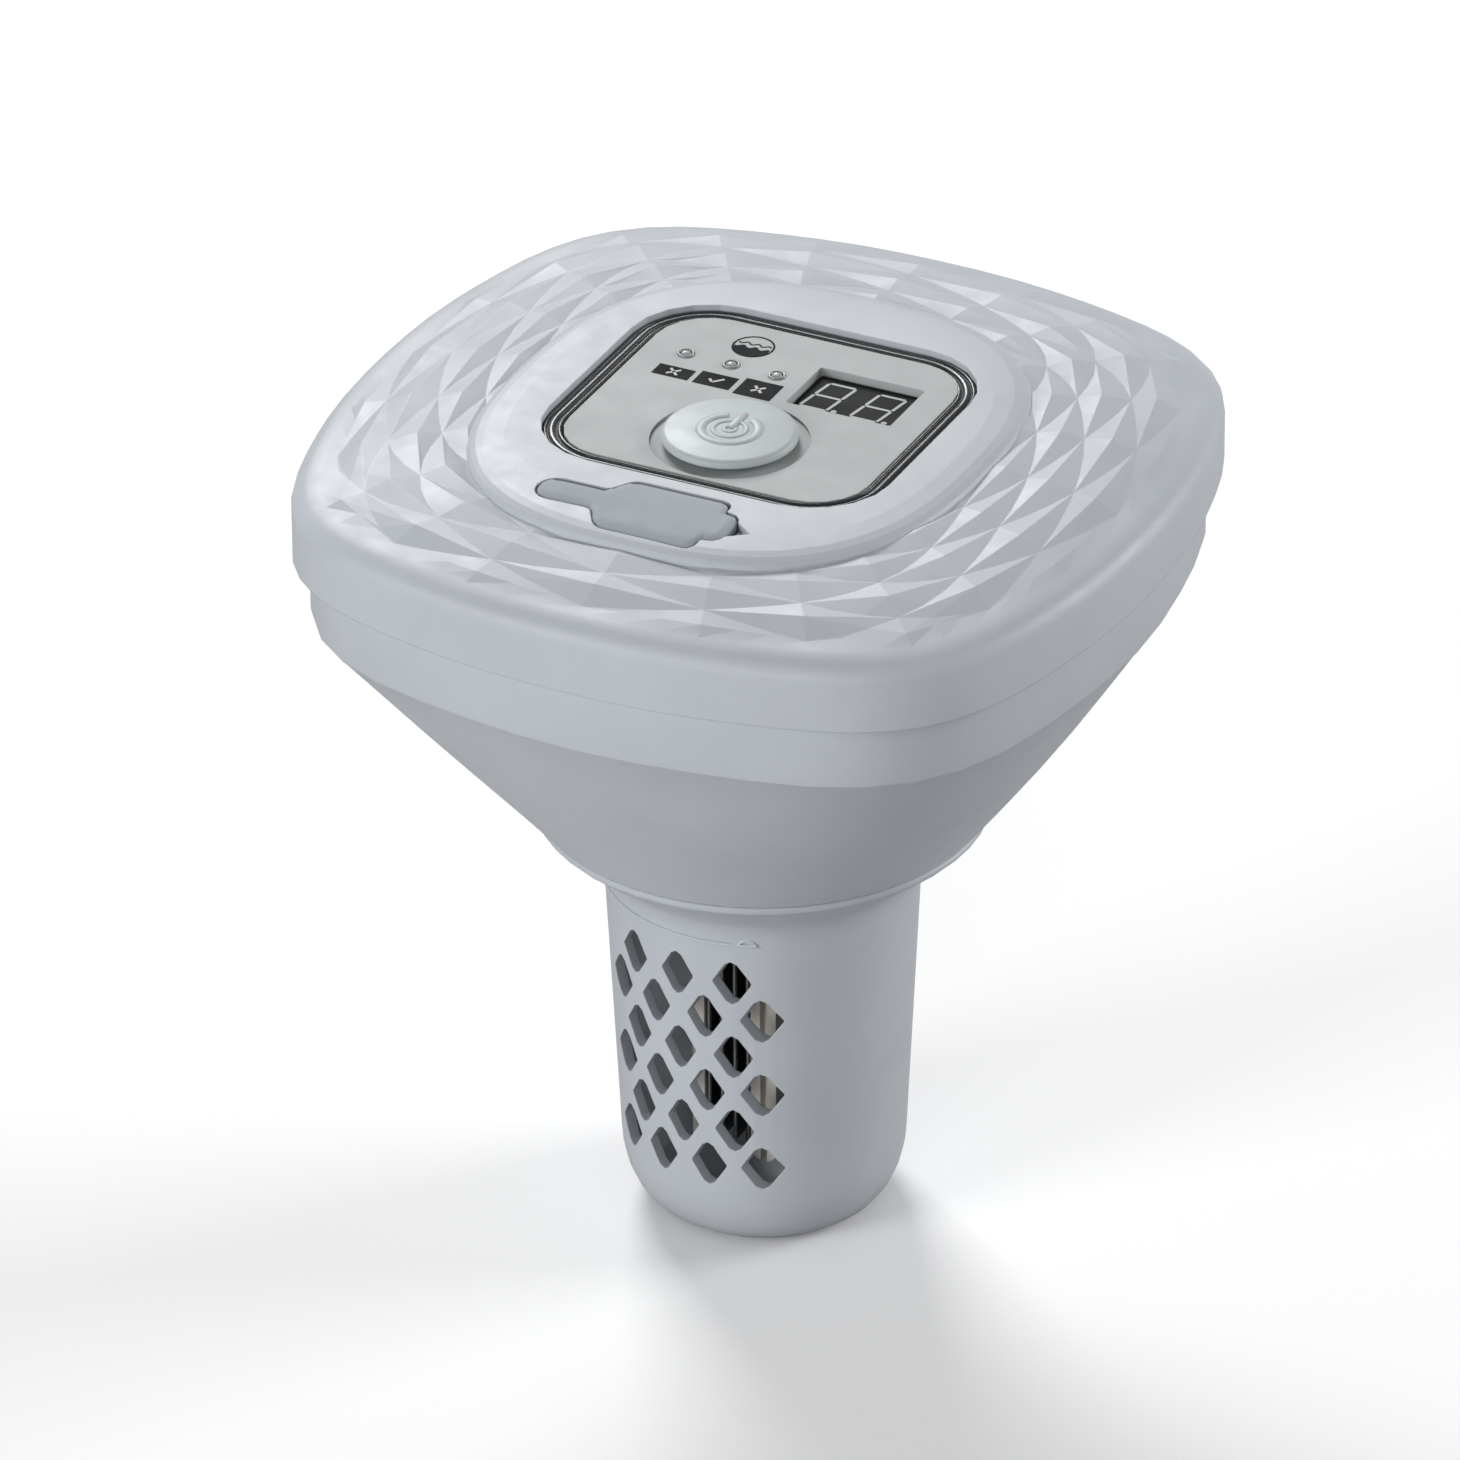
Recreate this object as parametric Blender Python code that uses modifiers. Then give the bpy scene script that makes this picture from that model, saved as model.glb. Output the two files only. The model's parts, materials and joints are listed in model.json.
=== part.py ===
"""Floating electrolytic chlorine dispenser for a spa, as an assembly of separate pieces.

A rounded-square head floats on the water. Its cover carries a control panel and a charging port
under a rubber flap, its funnel-shaped bowl holds the battery, and an electrode cassette hangs below
in a slotted guard that comes off with a short helical turn.

Metres, +Z up. The front is -Y, and the origin is the middle of the guard's flat bottom.
"""

import math

import bmesh
import bpy
from mathutils import Matrix, Vector

MM = 0.001
GAP = 0.3 * MM  # clearance between neighbouring pieces

# Head outline: a circle with four-, eight- and twelve-fold waves, which is a rounded square.
HEAD_HALF_WIDTH = 82.0 * MM
COVER_WAVES = (0.0584, -0.0105, 0.0029)
BOWL_WAVES = (0.0561, -0.0106, 0.0005)
QUARTER_COLUMNS = (0.0, 17.8, 32.2, 45.0, 57.8, 72.2)  # degrees from the front of a quarter
STEPS_PER_COLUMN = 3

# Cover
COVER_BOTTOM = 153.0 * MM
COVER_WALL_TOP = 163.0 * MM
COVER_WALL = 2.5 * MM
SHOULDER_EDGE = 0.94  # where the rounded shoulder ends, as a share of the outline
SHOULDER_TOP = 167.4 * MM
FACET_ROWS = (  # share of the outline and height of each ring of facet corners, from the middle out
    (0.575, 172.0 * MM),
    (0.629, 171.7 * MM),
    (0.684, 171.4 * MM),
    (0.737, 171.0 * MM),
    (0.801, 170.4 * MM),
    (0.857, 169.4 * MM),
    (0.909, 167.7 * MM),
)
FACET_RISE = 1.0 * MM  # how far a facet's peak stands above its ring
PAD_CENTRE = (0.0, -4.4 * MM)
PAD_HALF = (49.2 * MM, 54.4 * MM)
PAD_POWER = 2.6
PAD_TOP = 174.4 * MM
PAD_BASE = ((0.98, 4.8 * MM), (1.0, 3.9 * MM))  # share of the pad's outline and depth below its top
PAD_CROWN = (
    (1.0, 2.2 * MM),
    (0.99, 1.5 * MM),
    (0.97, 0.95 * MM),
    (0.94, 0.5 * MM),
    (0.87, 0.15 * MM),
    (0.75, 0.0),
)
PAD_FRONT_FALL = 0.04  # how much further the crown falls at its front edge

# Control panel
WINDOW_SIZE = (71.7 * MM, 67.3 * MM)
WINDOW_CENTRE = (0.4 * MM, -1.0 * MM)
WINDOW_RADIUS = 16.2 * MM
PANEL_SIZE = (62.9 * MM, 59.1 * MM)
PANEL_RADIUS = 11.0 * MM
PANEL_TOP = 173.6 * MM
PANEL_BOTTOM = 170.9 * MM
LEDGE_OPENING = (56.0 * MM, 52.0 * MM)
LEDGE_RADIUS = 5.0 * MM
GASKET_TOP = 173.0 * MM
DISPLAY_CENTRE = (14.7 * MM, 11.1 * MM)
DISPLAY_OPENING = (22.0 * MM, 15.4 * MM)
DISPLAY_DEPTH = 1.5 * MM
LED_PLACES = ((-22.0 * MM, 12.6 * MM), (-12.2 * MM, 12.3 * MM), (-2.4 * MM, 12.1 * MM))
LED_RADIUS = 1.15 * MM
BUTTON_CENTRE = (0.7 * MM, -14.5 * MM)
BUTTON_RADIUS = 13.1 * MM
BUTTON_STEM = 6.5 * MM
BUTTON_RISE = 2.3 * MM
BUTTON_TRAVEL = 0.8 * MM
RECESS_RADIUS = 15.3 * MM
RECESS_FLOOR = PANEL_TOP - 0.5 * MM
POWER_BAR = (1.4 * MM, 6.2 * MM, 0.9 * MM)
BOARD_SIZE = (54.0 * MM, 51.0 * MM)
BOARD_TOP = 162.6 * MM
BOARD_THICKNESS = 1.6 * MM
BOARD_POSTS = (23.5 * MM, 22.6 * MM)

# Charging port and its flap
FLAP_CENTRE_Y = -46.9 * MM
FLAP_HINGE_X = -11.6 * MM
FLAP_FLOOR = 171.2 * MM
FLAP_PROUD = 0.3 * MM
NOTCH_FLOOR = 172.5 * MM
PORT_X = 2.5 * MM
PORT_WELL = (15.0 * MM, 8.6 * MM)

# Bowl
BAND_HALF_WIDTH = 79.5 * MM
BAND_BOTTOM = 138.2 * MM
RIM_TOP = 157.0 * MM
BOWL_WALL = 2.8 * MM
SEAM_RADIUS = 44.5 * MM
SEAM_HEIGHT = 89.0 * MM
FLOOR_TOP = 93.0 * MM
HEAD_BORE = 24.0 * MM
SPIGOT_OUTER = 34.0 * MM
SPIGOT_INNER = 30.5 * MM
SPIGOT_BOTTOM = 84.5 * MM
O_RING_RADIUS = 41.6 * MM

# Guard and its bayonet
GUARD_TOP_RADIUS = 31.0 * MM
GUARD_TOP = 76.6 * MM
GUARD_LOW_RADIUS = 28.0 * MM
GUARD_LOW = 15.3 * MM
GUARD_FLAT_RADIUS = 19.2 * MM
GUARD_WALL = 2.4 * MM
SLOT_SIZE = (7.3 * MM, 12.1 * MM)  # between the corners before they are rounded
SLOT_PITCH_DEGREES = 10.78
SLOT_ROW_PITCH = 17.16 * MM
SLOT_TOP_ROW = 54.83 * MM
PANEL_TURN = -7.12  # degrees the slotted panels are turned from the front
LUG_SPAN = 36.0  # degrees
LUG_LEAD = 10.0 * MM  # drop of the helix in one turn

# Electrode cassette
CASSETTE_X = -0.5 * MM
PLATE_PITCH = 2.8 * MM
PLATE_THICKNESS = 1.0 * MM
PLATE_DEPTH = 30.0 * MM
PLATE_BOTTOM = 18.5 * MM
PLATE_TOP = 82.4 * MM
FRAME_LEGS = (2.6 * MM, 5.5 * MM)
FRAME_BOTTOM = 15.0 * MM
HEAD_PLATE_BOTTOM = 84.0 * MM

# Battery
CELL_RADIUS = 9.2 * MM
CELL_LENGTH = 65.0 * MM
CELL_Y = 10.4 * MM
CELL_Z = 112.0 * MM


def clear_scene():
    for obj in list(bpy.data.objects):
        bpy.data.objects.remove(obj)


def new_collection(name, hidden=False):
    collection = bpy.data.collections.new(name)
    bpy.context.scene.collection.children.link(collection)
    collection.hide_render = hidden
    return collection


def material(name, colour, roughness, metallic=0.0, alpha=1.0):
    made = bpy.data.materials.new(name)
    made.use_nodes = True
    shader = made.node_tree.nodes["Principled BSDF"]
    shader.inputs["Base Color"].default_value = (*colour, 1.0)
    shader.inputs["Roughness"].default_value = roughness
    shader.inputs["Metallic"].default_value = metallic
    shader.inputs["Alpha"].default_value = alpha
    made.diffuse_color = (*colour, 1.0)
    return made


clear_scene()
PARTS = new_collection("floating_chlorine_dispenser")
CUTTERS = new_collection("cutters", hidden=True)

SHELL_GREY = material("shell_grey", (0.50, 0.53, 0.56), 0.38)
PANEL_GREY = material("panel_grey", (0.50, 0.53, 0.52), 0.45)
RUBBER_DARK = material("rubber_dark", (0.03, 0.033, 0.036), 0.6)
RUBBER_GREY = material("rubber_grey", (0.38, 0.42, 0.46), 0.65)
LENS_CLEAR = material("lens_clear", (0.72, 0.76, 0.76), 0.15)
DISPLAY_BLACK = material("display_black", (0.02, 0.021, 0.024), 0.25)
BOARD_GREEN = material("board_green", (0.02, 0.16, 0.07), 0.4)
STEEL = material("steel", (0.62, 0.62, 0.63), 0.3, metallic=1.0)
CELL_WRAP = material("cell_wrap", (0.05, 0.16, 0.42), 0.35)
INNER_PLASTIC = material("inner_plastic", (0.05, 0.05, 0.055), 0.5)
CREAM_PLASTIC = material("cream_plastic", (0.72, 0.68, 0.60), 0.45)
COATED_TITANIUM = material("coated_titanium", (0.035, 0.035, 0.038), 0.5, metallic=0.6)


def place_mesh(name, mesh, finish, cutter=False):
    obj = bpy.data.objects.new(name, mesh)
    (CUTTERS if cutter else PARTS).objects.link(obj)
    if cutter:
        obj.hide_render = True
        obj.display_type = "WIRE"
    elif finish:
        mesh.materials.append(finish)
    return obj


def from_bmesh(name, bm, finish=None, cutter=False, smooth_degrees=30.0):
    bmesh.ops.recalc_face_normals(bm, faces=bm.faces)
    mesh = bpy.data.meshes.new(name)
    bm.to_mesh(mesh)
    bm.free()
    mesh.shade_smooth()
    mesh.set_sharp_from_angle(angle=math.radians(smooth_degrees))
    return place_mesh(name, mesh, finish, cutter)


def turned(name, profile, finish=None, steps=48, at=(0.0, 0.0), cutter=False):
    """A profile of (radius, height), top to bottom on its outer side, turned about Z."""
    mesh = bpy.data.meshes.new(name)
    closed = profile[0][0] > 0.0 or profile[-1][0] > 0.0
    edges = [(i, i + 1) for i in range(len(profile) - 1)]
    if closed:
        edges.append((len(profile) - 1, 0))
    mesh.from_pydata([(radius, 0.0, height) for radius, height in profile], edges, [])
    obj = place_mesh(name, mesh, finish, cutter)
    obj.location = (at[0], at[1], 0.0)
    screw = obj.modifiers.new("turn", "SCREW")
    screw.axis = "Z"
    screw.steps = steps
    screw.render_steps = steps
    screw.use_merge_vertices = True
    screw.merge_threshold = 0.00001
    screw.use_smooth_shade = True
    return obj


def cylinder(name, radius, bottom, top, finish=None, steps=24, at=(0.0, 0.0), cutter=False):
    profile = [(0.0, top), (radius, top), (radius, bottom), (0.0, bottom)]
    return turned(name, profile, finish, steps, at, cutter)


def box(name, size, centre, finish=None, bevel=0.0, cutter=False):
    bm = bmesh.new()
    bmesh.ops.create_cube(bm, size=1.0)
    bmesh.ops.scale(bm, vec=size, verts=bm.verts)
    obj = from_bmesh(name, bm, finish, cutter)
    obj.location = centre
    if bevel:
        add_bevel(obj, bevel)
    return obj


def add_bevel(obj, width, segments=2, angle=30.0):
    bevel = obj.modifiers.new("round edges", "BEVEL")
    bevel.width = width
    bevel.segments = segments
    bevel.limit_method = "ANGLE"
    bevel.angle_limit = math.radians(angle)


def boolean(obj, other, operation):
    modifier = obj.modifiers.new(operation.lower(), "BOOLEAN")
    modifier.operation = operation
    modifier.object = other
    modifier.solver = "EXACT"


def cut(obj, *cutters):
    for cutter in cutters:
        boolean(obj, cutter, "DIFFERENCE")


def join(obj, *additions):
    for addition in additions:
        boolean(obj, addition, "UNION")


def rounded_outline(corners, radii, steps=4):
    """The closed outline through these corners, each replaced by an arc of its radius."""
    points = []
    for i, (corner, radius) in enumerate(zip(corners, radii)):
        here = Vector(corner)
        before = (Vector(corners[i - 1]) - here).normalized()
        after = (Vector(corners[(i + 1) % len(corners)]) - here).normalized()
        half = before.angle(after) / 2
        centre = here + (before + after).normalized() * radius / math.sin(half)
        start = here + before * radius / math.tan(half) - centre
        turn = math.pi - 2 * half
        way = 1 if before.x * after.y - before.y * after.x < 0 else -1
        for step in range(steps + 1):
            points.append(centre + Matrix.Rotation(way * turn * step / steps, 2) @ start)
    return points


def rounded_rectangle(size, radius, centre=(0.0, 0.0), steps=5):
    x, y = size[0] / 2, size[1] / 2
    corners = [(x, y), (-x, y), (-x, -y), (x, -y)]
    return [p + Vector(centre) for p in rounded_outline(corners, [radius] * 4, steps)]


def slab(name, loops, bottom, top, finish=None, cutter=False):
    """A flat outline, with any further loops as holes, between two heights."""
    curve = bpy.data.curves.new(name, "CURVE")
    curve.dimensions = "2D"
    curve.fill_mode = "BOTH"
    curve.extrude = (top - bottom) / 2
    for loop in loops:
        spline = curve.splines.new("POLY")
        spline.points.add(len(loop) - 1)
        for point, (x, y) in zip(spline.points, loop):
            point.co = (x, y, 0.0, 1.0)
        spline.use_cyclic_u = True
    outline = bpy.data.objects.new(name + "_outline", curve)
    bpy.context.scene.collection.objects.link(outline)
    graph = bpy.context.evaluated_depsgraph_get()
    mesh = bpy.data.meshes.new_from_object(outline.evaluated_get(graph))
    bpy.data.objects.remove(outline)
    bm = bmesh.new()
    bm.from_mesh(mesh)
    bpy.data.meshes.remove(mesh)
    bmesh.ops.remove_doubles(bm, verts=bm.verts, dist=0.000001)
    bmesh.ops.translate(bm, verts=bm.verts, vec=(0.0, 0.0, (top + bottom) / 2))
    return from_bmesh(name, bm, finish, cutter)


def screw_fastener(name, at, head_bottom, head_top, tip, head_radius=2.6 * MM, shank=1.15 * MM):
    """A pan-head screw with a hexagonal recess; the shank runs from the head to its tip."""
    way = 1 if head_bottom > tip else -1
    low, high = sorted((head_bottom, head_top))
    rim = 0.5 * MM
    head = [(0.0, high), (head_radius - rim, high), (head_radius, high - rim), (head_radius, low)]
    if way > 0:
        profile = [*head, (shank, low), (shank, tip + shank), (0.0, tip)]
    else:
        head = [(head_radius, high), (head_radius, low + rim), (head_radius - rim, low), (0.0, low)]
        profile = [(0.0, tip), (shank, tip - shank), (shank, high), *head]
    obj = turned(name, profile, STEEL, 12, at)
    depth = 1.0 * MM
    face = high if way > 0 else low
    low, high = sorted((face + way * depth, face - way * depth))
    recess = cylinder(name + "_recess", 1.1 * MM, low, high, steps=6, at=at, cutter=True)
    cut(obj, recess)
    return obj


# Head outlines


def column_angle(column):
    quarter, place = divmod(column, len(QUARTER_COLUMNS))
    return math.radians(90.0 * quarter + QUARTER_COLUMNS[place])


COLUMNS = 4 * len(QUARTER_COLUMNS)


def ring_angles(per_column=STEPS_PER_COLUMN):
    angles = []
    for column in range(COLUMNS):
        start, end = column_angle(column), column_angle(column + 1)
        angles += [start + (end - start) * i / per_column for i in range(per_column)]
    return angles


def outline_share(angle, waves, square=1.0):
    return 1.0 + square * sum(w * (1 - math.cos(4 * n * angle)) for n, w in enumerate(waves, 1))


def head_point(angle, half_width, height, waves, square=1.0):
    radius = half_width * outline_share(angle, waves, square)
    return Vector((radius * math.sin(angle), -radius * math.cos(angle), height))


def head_ring(bm, half_width, height, waves, square=1.0, per_column=STEPS_PER_COLUMN):
    angles = ring_angles(per_column)
    return [bm.verts.new(head_point(a, half_width, height, waves, square)) for a in angles]


def bridge(bm, lower, upper):
    for i in range(len(lower)):
        j = (i + 1) % len(lower)
        bm.faces.new((lower[i], lower[j], upper[j], upper[i]))


def bridge_all(bm, rings):
    for lower, upper in zip(rings, rings[1:]):
        bridge(bm, lower, upper)


# Cover


def facet_corner(bm, row, column):
    share, height = FACET_ROWS[row]
    if (row + column) % 2:
        height += FACET_RISE
    return bm.verts.new(
        head_point(column_angle(column), share * HEAD_HALF_WIDTH, height, COVER_WAVES)
    )


def facet_ring(bm):
    """Low four-sided pyramids whose corners alternate from ring to ring; returns the outer edge."""
    corners = [[facet_corner(bm, row, c) for c in range(COLUMNS)] for row in range(len(FACET_ROWS))]
    last = len(FACET_ROWS) - 2
    edge = []
    for column in range(COLUMNS):
        after = (column + 1) % COLUMNS
        start, end = corners[-1][column], corners[-1][after]
        between = [bm.verts.new(start.co.lerp(end.co, t)) for t in inner_steps()]
        edge += [start, *between]
        for row in range(last + 1):
            facet_cell(bm, corners, row, column, between if row == last else [])
    middle = bm.verts.new((0.0, 0.0, FACET_ROWS[0][1]))
    for column in range(COLUMNS):
        bm.faces.new((middle, corners[0][column], corners[0][(column + 1) % COLUMNS]))
    return edge


def inner_steps():
    return [i / STEPS_PER_COLUMN for i in range(1, STEPS_PER_COLUMN)]


def facet_valley(bm, row, column, outer_row):
    """Points along the curved valley from a low corner to the low corner one ring and column on."""
    share, height = FACET_ROWS[row]
    outer_share, outer_height = FACET_ROWS[outer_row]
    start = column_angle(column)
    points = []
    for t in inner_steps():
        angle = start + (column_angle(column + 1) - start) * t
        half_width = (share + (outer_share - share) * t) * HEAD_HALF_WIDTH
        z = height + (outer_height - height) * t
        points.append(bm.verts.new(head_point(angle, half_width, z, COVER_WAVES)))
    return points


def facet_cell(bm, corners, row, column, between):
    """Two curved-edged facets that meet along the valley between the cell's low corners."""
    after = (column + 1) % COLUMNS
    inner, inner_after = corners[row][column], corners[row][after]
    outer, outer_after = corners[row + 1][column], corners[row + 1][after]
    if (row + column) % 2:
        valley = [outer, *facet_valley(bm, row + 1, column, row), inner_after]
        fan(bm, inner, valley)
        if between:
            stitch(bm, [outer, *between, outer_after], valley[:-1])
            bm.faces.new((valley[-2], between[-1], outer_after, inner_after))
        else:
            fan(bm, outer_after, valley)
    else:
        valley = [inner, *facet_valley(bm, row, column, row + 1), outer_after]
        fan(bm, inner_after, valley)
        if between:
            stitch(bm, [outer, *between, outer_after], valley)
        else:
            fan(bm, outer, valley)


def fan(bm, tip, edge):
    for start, end in zip(edge, edge[1:]):
        bm.faces.new((tip, start, end))


def stitch(bm, first, second):
    """Faces between two rows of as many points, which may share their first or last point."""
    for a, b, c, d in zip(first, first[1:], second[1:], second):
        points = list(dict.fromkeys((a, b, c, d)))
        bm.faces.new(points)


def cover_shell():
    bm = bmesh.new()
    outer = [head_ring(bm, HEAD_HALF_WIDTH, COVER_BOTTOM, COVER_WAVES)]
    steps = 4
    for step in range(steps + 1):
        turn = math.pi / 2 * step / steps
        share = SHOULDER_EDGE + (1 - SHOULDER_EDGE) * math.cos(turn)
        height = COVER_WALL_TOP + (SHOULDER_TOP - COVER_WALL_TOP) * math.sin(turn)
        outer.append(head_ring(bm, HEAD_HALF_WIDTH * share, height, COVER_WAVES))
    bridge_all(bm, outer)
    bridge(bm, outer[-1], facet_ring(bm))
    wall = HEAD_HALF_WIDTH - COVER_WALL
    ledge = 3.7 * MM
    inside = (
        (wall, COVER_BOTTOM),
        (wall, 159.2 * MM),
        (wall - ledge, 159.2 * MM),
        (wall - ledge, 161.2 * MM),
        (wall - 1.0 * MM, 162.6 * MM),
        (0.93 * HEAD_HALF_WIDTH, 164.2 * MM),
        (0.89 * HEAD_HALF_WIDTH, 165.3 * MM),
        (0.80 * HEAD_HALF_WIDTH, 167.5 * MM),
        (0.68 * HEAD_HALF_WIDTH, 168.6 * MM),
        (0.50 * HEAD_HALF_WIDTH, 168.9 * MM),
    )
    inner = [head_ring(bm, half_width, height, COVER_WAVES) for half_width, height in inside]
    bridge_all(bm, inner)
    bridge(bm, outer[0], inner[0])
    bm.faces.new(inner[-1])
    return from_bmesh("top_cover", bm, SHELL_GREY, smooth_degrees=5.0)


def pad_point(angle, share, height):
    x, y = math.sin(angle), -math.cos(angle)
    reach = (abs(x) / PAD_HALF[0]) ** PAD_POWER + (abs(y) / PAD_HALF[1]) ** PAD_POWER
    radius = share * reach ** (-1 / PAD_POWER)
    return Vector((PAD_CENTRE[0] + radius * x, PAD_CENTRE[1] + radius * y, height))


def pad_ring(bm, share, depth, front_fall=0.0):
    ring = []
    for angle in ring_angles():
        fall = depth * (1 + front_fall * max(0.0, math.cos(angle)) ** 2)
        ring.append(bm.verts.new(pad_point(angle, share, PAD_TOP - fall)))
    return ring


def pad_solid(name, lift=0.0):
    """The smooth raised pad in the middle of the cover, which falls away towards its edge."""
    bm = bmesh.new()
    rings = [pad_ring(bm, share, depth) for share, depth in PAD_BASE]
    rings += [pad_ring(bm, share, depth, PAD_FRONT_FALL) for share, depth in PAD_CROWN]
    bmesh.ops.translate(bm, verts=bm.verts, vec=(0.0, 0.0, lift))
    bridge_all(bm, rings)
    bm.faces.new(rings[0])
    bm.faces.new(rings[-1])
    return from_bmesh(name, bm, cutter=True)


def flap_outline(grow=0.0):
    """The flap without its strap: a wide body whose left shoulders curve in, and a lift tab."""
    left, right, tab = FLAP_HINGE_X, 13.0 * MM + grow, 16.8 * MM + grow
    half, neck, tab_half = 8.9 * MM + grow, 3.7 * MM + grow, 5.2 * MM + grow
    upper = [
        (right, tab_half, 0.5 * MM),
        (right, half, 2.2 * MM),
        (-7.4 * MM, half, 3.4 * MM),
        (-10.6 * MM, neck, 1.8 * MM),
        (left, neck, 0.2 * MM),
    ]
    turns = [(tab, -tab_half, 3.1 * MM), (tab, tab_half, 3.1 * MM), *upper]
    turns += [(x, -y, radius) for x, y, radius in reversed(upper)]
    outline = rounded_outline([(x, y) for x, y, _ in turns], [radius for *_, radius in turns], 3)
    return [p + Vector((0.0, FLAP_CENTRE_Y)) for p in outline]


def strap_outline(grow=0.0, right=None):
    """The flap's strap, with a round left end."""
    left = -23.4 * MM - grow
    right = FLAP_HINGE_X - GAP if right is None else right
    half = 3.7 * MM + grow
    corners = [(left, -half), (right, -half), (right, half), (left, half)]
    radii = [half * 0.98, 0.3 * MM, 0.3 * MM, half * 0.98]
    return [p + Vector((0.0, FLAP_CENTRE_Y)) for p in rounded_outline(corners, radii, 4)]


def make_cover():
    cover = cover_shell()
    join(cover, pad_solid("pad"))
    above = PAD_TOP + 5 * MM
    window = rounded_rectangle(WINDOW_SIZE, WINDOW_RADIUS, WINDOW_CENTRE)
    opening = rounded_rectangle(LEDGE_OPENING, LEDGE_RADIUS, WINDOW_CENTRE)
    notch = [(14.5 * MM, -4.8 * MM), (20.8 * MM, 0.0), (14.5 * MM, 4.8 * MM)]
    notch = [Vector(p) + Vector((0.0, FLAP_CENTRE_Y)) for p in notch]
    well = rounded_rectangle(PORT_WELL, PORT_WELL[1] / 2 - 0.1 * MM, (PORT_X, FLAP_CENTRE_Y))
    bosses = []
    for side in (-1, 1):
        at = (PORT_X + side * 14.5 * MM, FLAP_CENTRE_Y)
        bosses.append(cylinder("port_boss", 2.7 * MM, 160.6 * MM, 169.4 * MM, at=at, steps=16, cutter=True))
    join(cover, *bosses)
    cut(
        cover,
        slab("window_cut", [window], PANEL_BOTTOM - GAP, above, cutter=True),
        slab("opening_cut", [opening], 160 * MM, above, cutter=True),
        slab("flap_cut", [flap_outline(GAP)], FLAP_FLOOR - GAP, above, cutter=True),
        slab("strap_cut", [strap_outline(GAP, -10 * MM)], FLAP_FLOOR - GAP, above, cutter=True),
        slab("notch_cut", [notch], NOTCH_FLOOR, above, cutter=True),
        slab("well_cut", [well], 164 * MM, above, cutter=True),
    )
    for side in (-1, 1):
        at = (PORT_X + side * 14.5 * MM, FLAP_CENTRE_Y)
        cut(cover, cylinder("port_pilot", 1.4 * MM, 155 * MM, 167 * MM, at=at, steps=12, cutter=True))


def make_flap():
    """The rubber flap follows the pad's surface and stands a little proud of it."""
    top = pad_solid("flap_surface", FLAP_PROUD)
    flap = slab("charging_port_flap", [flap_outline()], FLAP_FLOOR, PAD_TOP + 5 * MM, RUBBER_GREY)
    boolean(flap, top, "INTERSECT")
    lip_size = (PORT_WELL[0] - 1.2 * MM, PORT_WELL[1] - 1.2 * MM)
    lip = rounded_rectangle(lip_size, lip_size[1] / 2 - 0.1 * MM, (PORT_X, FLAP_CENTRE_Y))
    join(flap, slab("flap_lip", [lip], 168.8 * MM, FLAP_FLOOR + 0.5 * MM, cutter=True))
    strap = slab("flap_strap", [strap_outline()], FLAP_FLOOR, PAD_TOP + 5 * MM, RUBBER_GREY)
    boolean(strap, top, "INTERSECT")


# Control panel


def make_panel():
    outline = rounded_rectangle(PANEL_SIZE, PANEL_RADIUS, (0.7 * MM, -1.0 * MM))
    panel = slab("control_panel", [outline], PANEL_BOTTOM, PANEL_TOP, PANEL_GREY)
    posts = []
    pilots = []
    for x in (-1, 1):
        for y in (-1, 1):
            at = (x * BOARD_POSTS[0], y * BOARD_POSTS[1] - 1.0 * MM)
            low = BOARD_TOP + GAP
            high = PANEL_BOTTOM + 1 * MM
            posts.append(cylinder("post", 2.6 * MM, low, high, at=at, steps=12, cutter=True))
            pilots.append(cylinder("pilot", 1.4 * MM, low - 1 * MM, 169 * MM, at=at, steps=12, cutter=True))
    join(panel, *posts)
    display = rounded_rectangle(DISPLAY_OPENING, 0.4 * MM, DISPLAY_CENTRE, 2)
    cut(panel, *pilots, slab("display_cut", [display], 165 * MM, 180 * MM, cutter=True))
    for place in LED_PLACES:
        hole = cylinder("led_hole", LED_RADIUS + GAP, 165 * MM, 180 * MM, at=place, steps=16, cutter=True)
        cut(panel, hole)
    bore = BUTTON_STEM + 0.4 * MM
    recess = [(0.0, 180 * MM), (RECESS_RADIUS, 180 * MM), (RECESS_RADIUS, RECESS_FLOOR),
              (bore, RECESS_FLOOR), (bore, 165 * MM), (0.0, 165 * MM)]
    cut(panel, turned("recess_cut", recess, steps=48, at=BUTTON_CENTRE, cutter=True))


def make_gasket():
    outer = rounded_rectangle([s - 2 * GAP for s in WINDOW_SIZE], WINDOW_RADIUS - GAP, WINDOW_CENTRE)
    inner = rounded_rectangle([s + 2 * GAP for s in PANEL_SIZE], PANEL_RADIUS + GAP, (0.7 * MM, -1.0 * MM))
    slab("panel_gasket", [outer, inner], PANEL_BOTTOM, GASKET_TOP, RUBBER_DARK)


def make_display():
    size = [s - 2 * GAP for s in DISPLAY_OPENING]
    top = PANEL_TOP - DISPLAY_DEPTH
    bottom = BOARD_TOP + GAP
    centre = (*DISPLAY_CENTRE, (top + bottom) / 2)
    box("display_module", (*size, top - bottom), centre, DISPLAY_BLACK, bevel=0.3 * MM)


def make_light_pipes():
    top = PANEL_TOP + 0.55 * MM
    flange_top = PANEL_BOTTOM - GAP
    dome = [(LED_RADIUS * math.sin(t), top - LED_RADIUS * 0.6 * (1 - math.cos(t)))
            for t in [math.pi / 2 * i / 4 for i in range(5)]]
    for name, place in zip(("left", "middle", "right"), LED_PLACES):
        profile = [*dome, (LED_RADIUS, flange_top), (2.3 * MM, flange_top),
                   (2.3 * MM, flange_top - 1 * MM), (LED_RADIUS, flange_top - 1 * MM),
                   (LED_RADIUS, BOARD_TOP + 1.4 * MM), (0.0, BOARD_TOP + 1.4 * MM)]
        turned("light_pipe_" + name, profile, LENS_CLEAR, 14, place)


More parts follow.
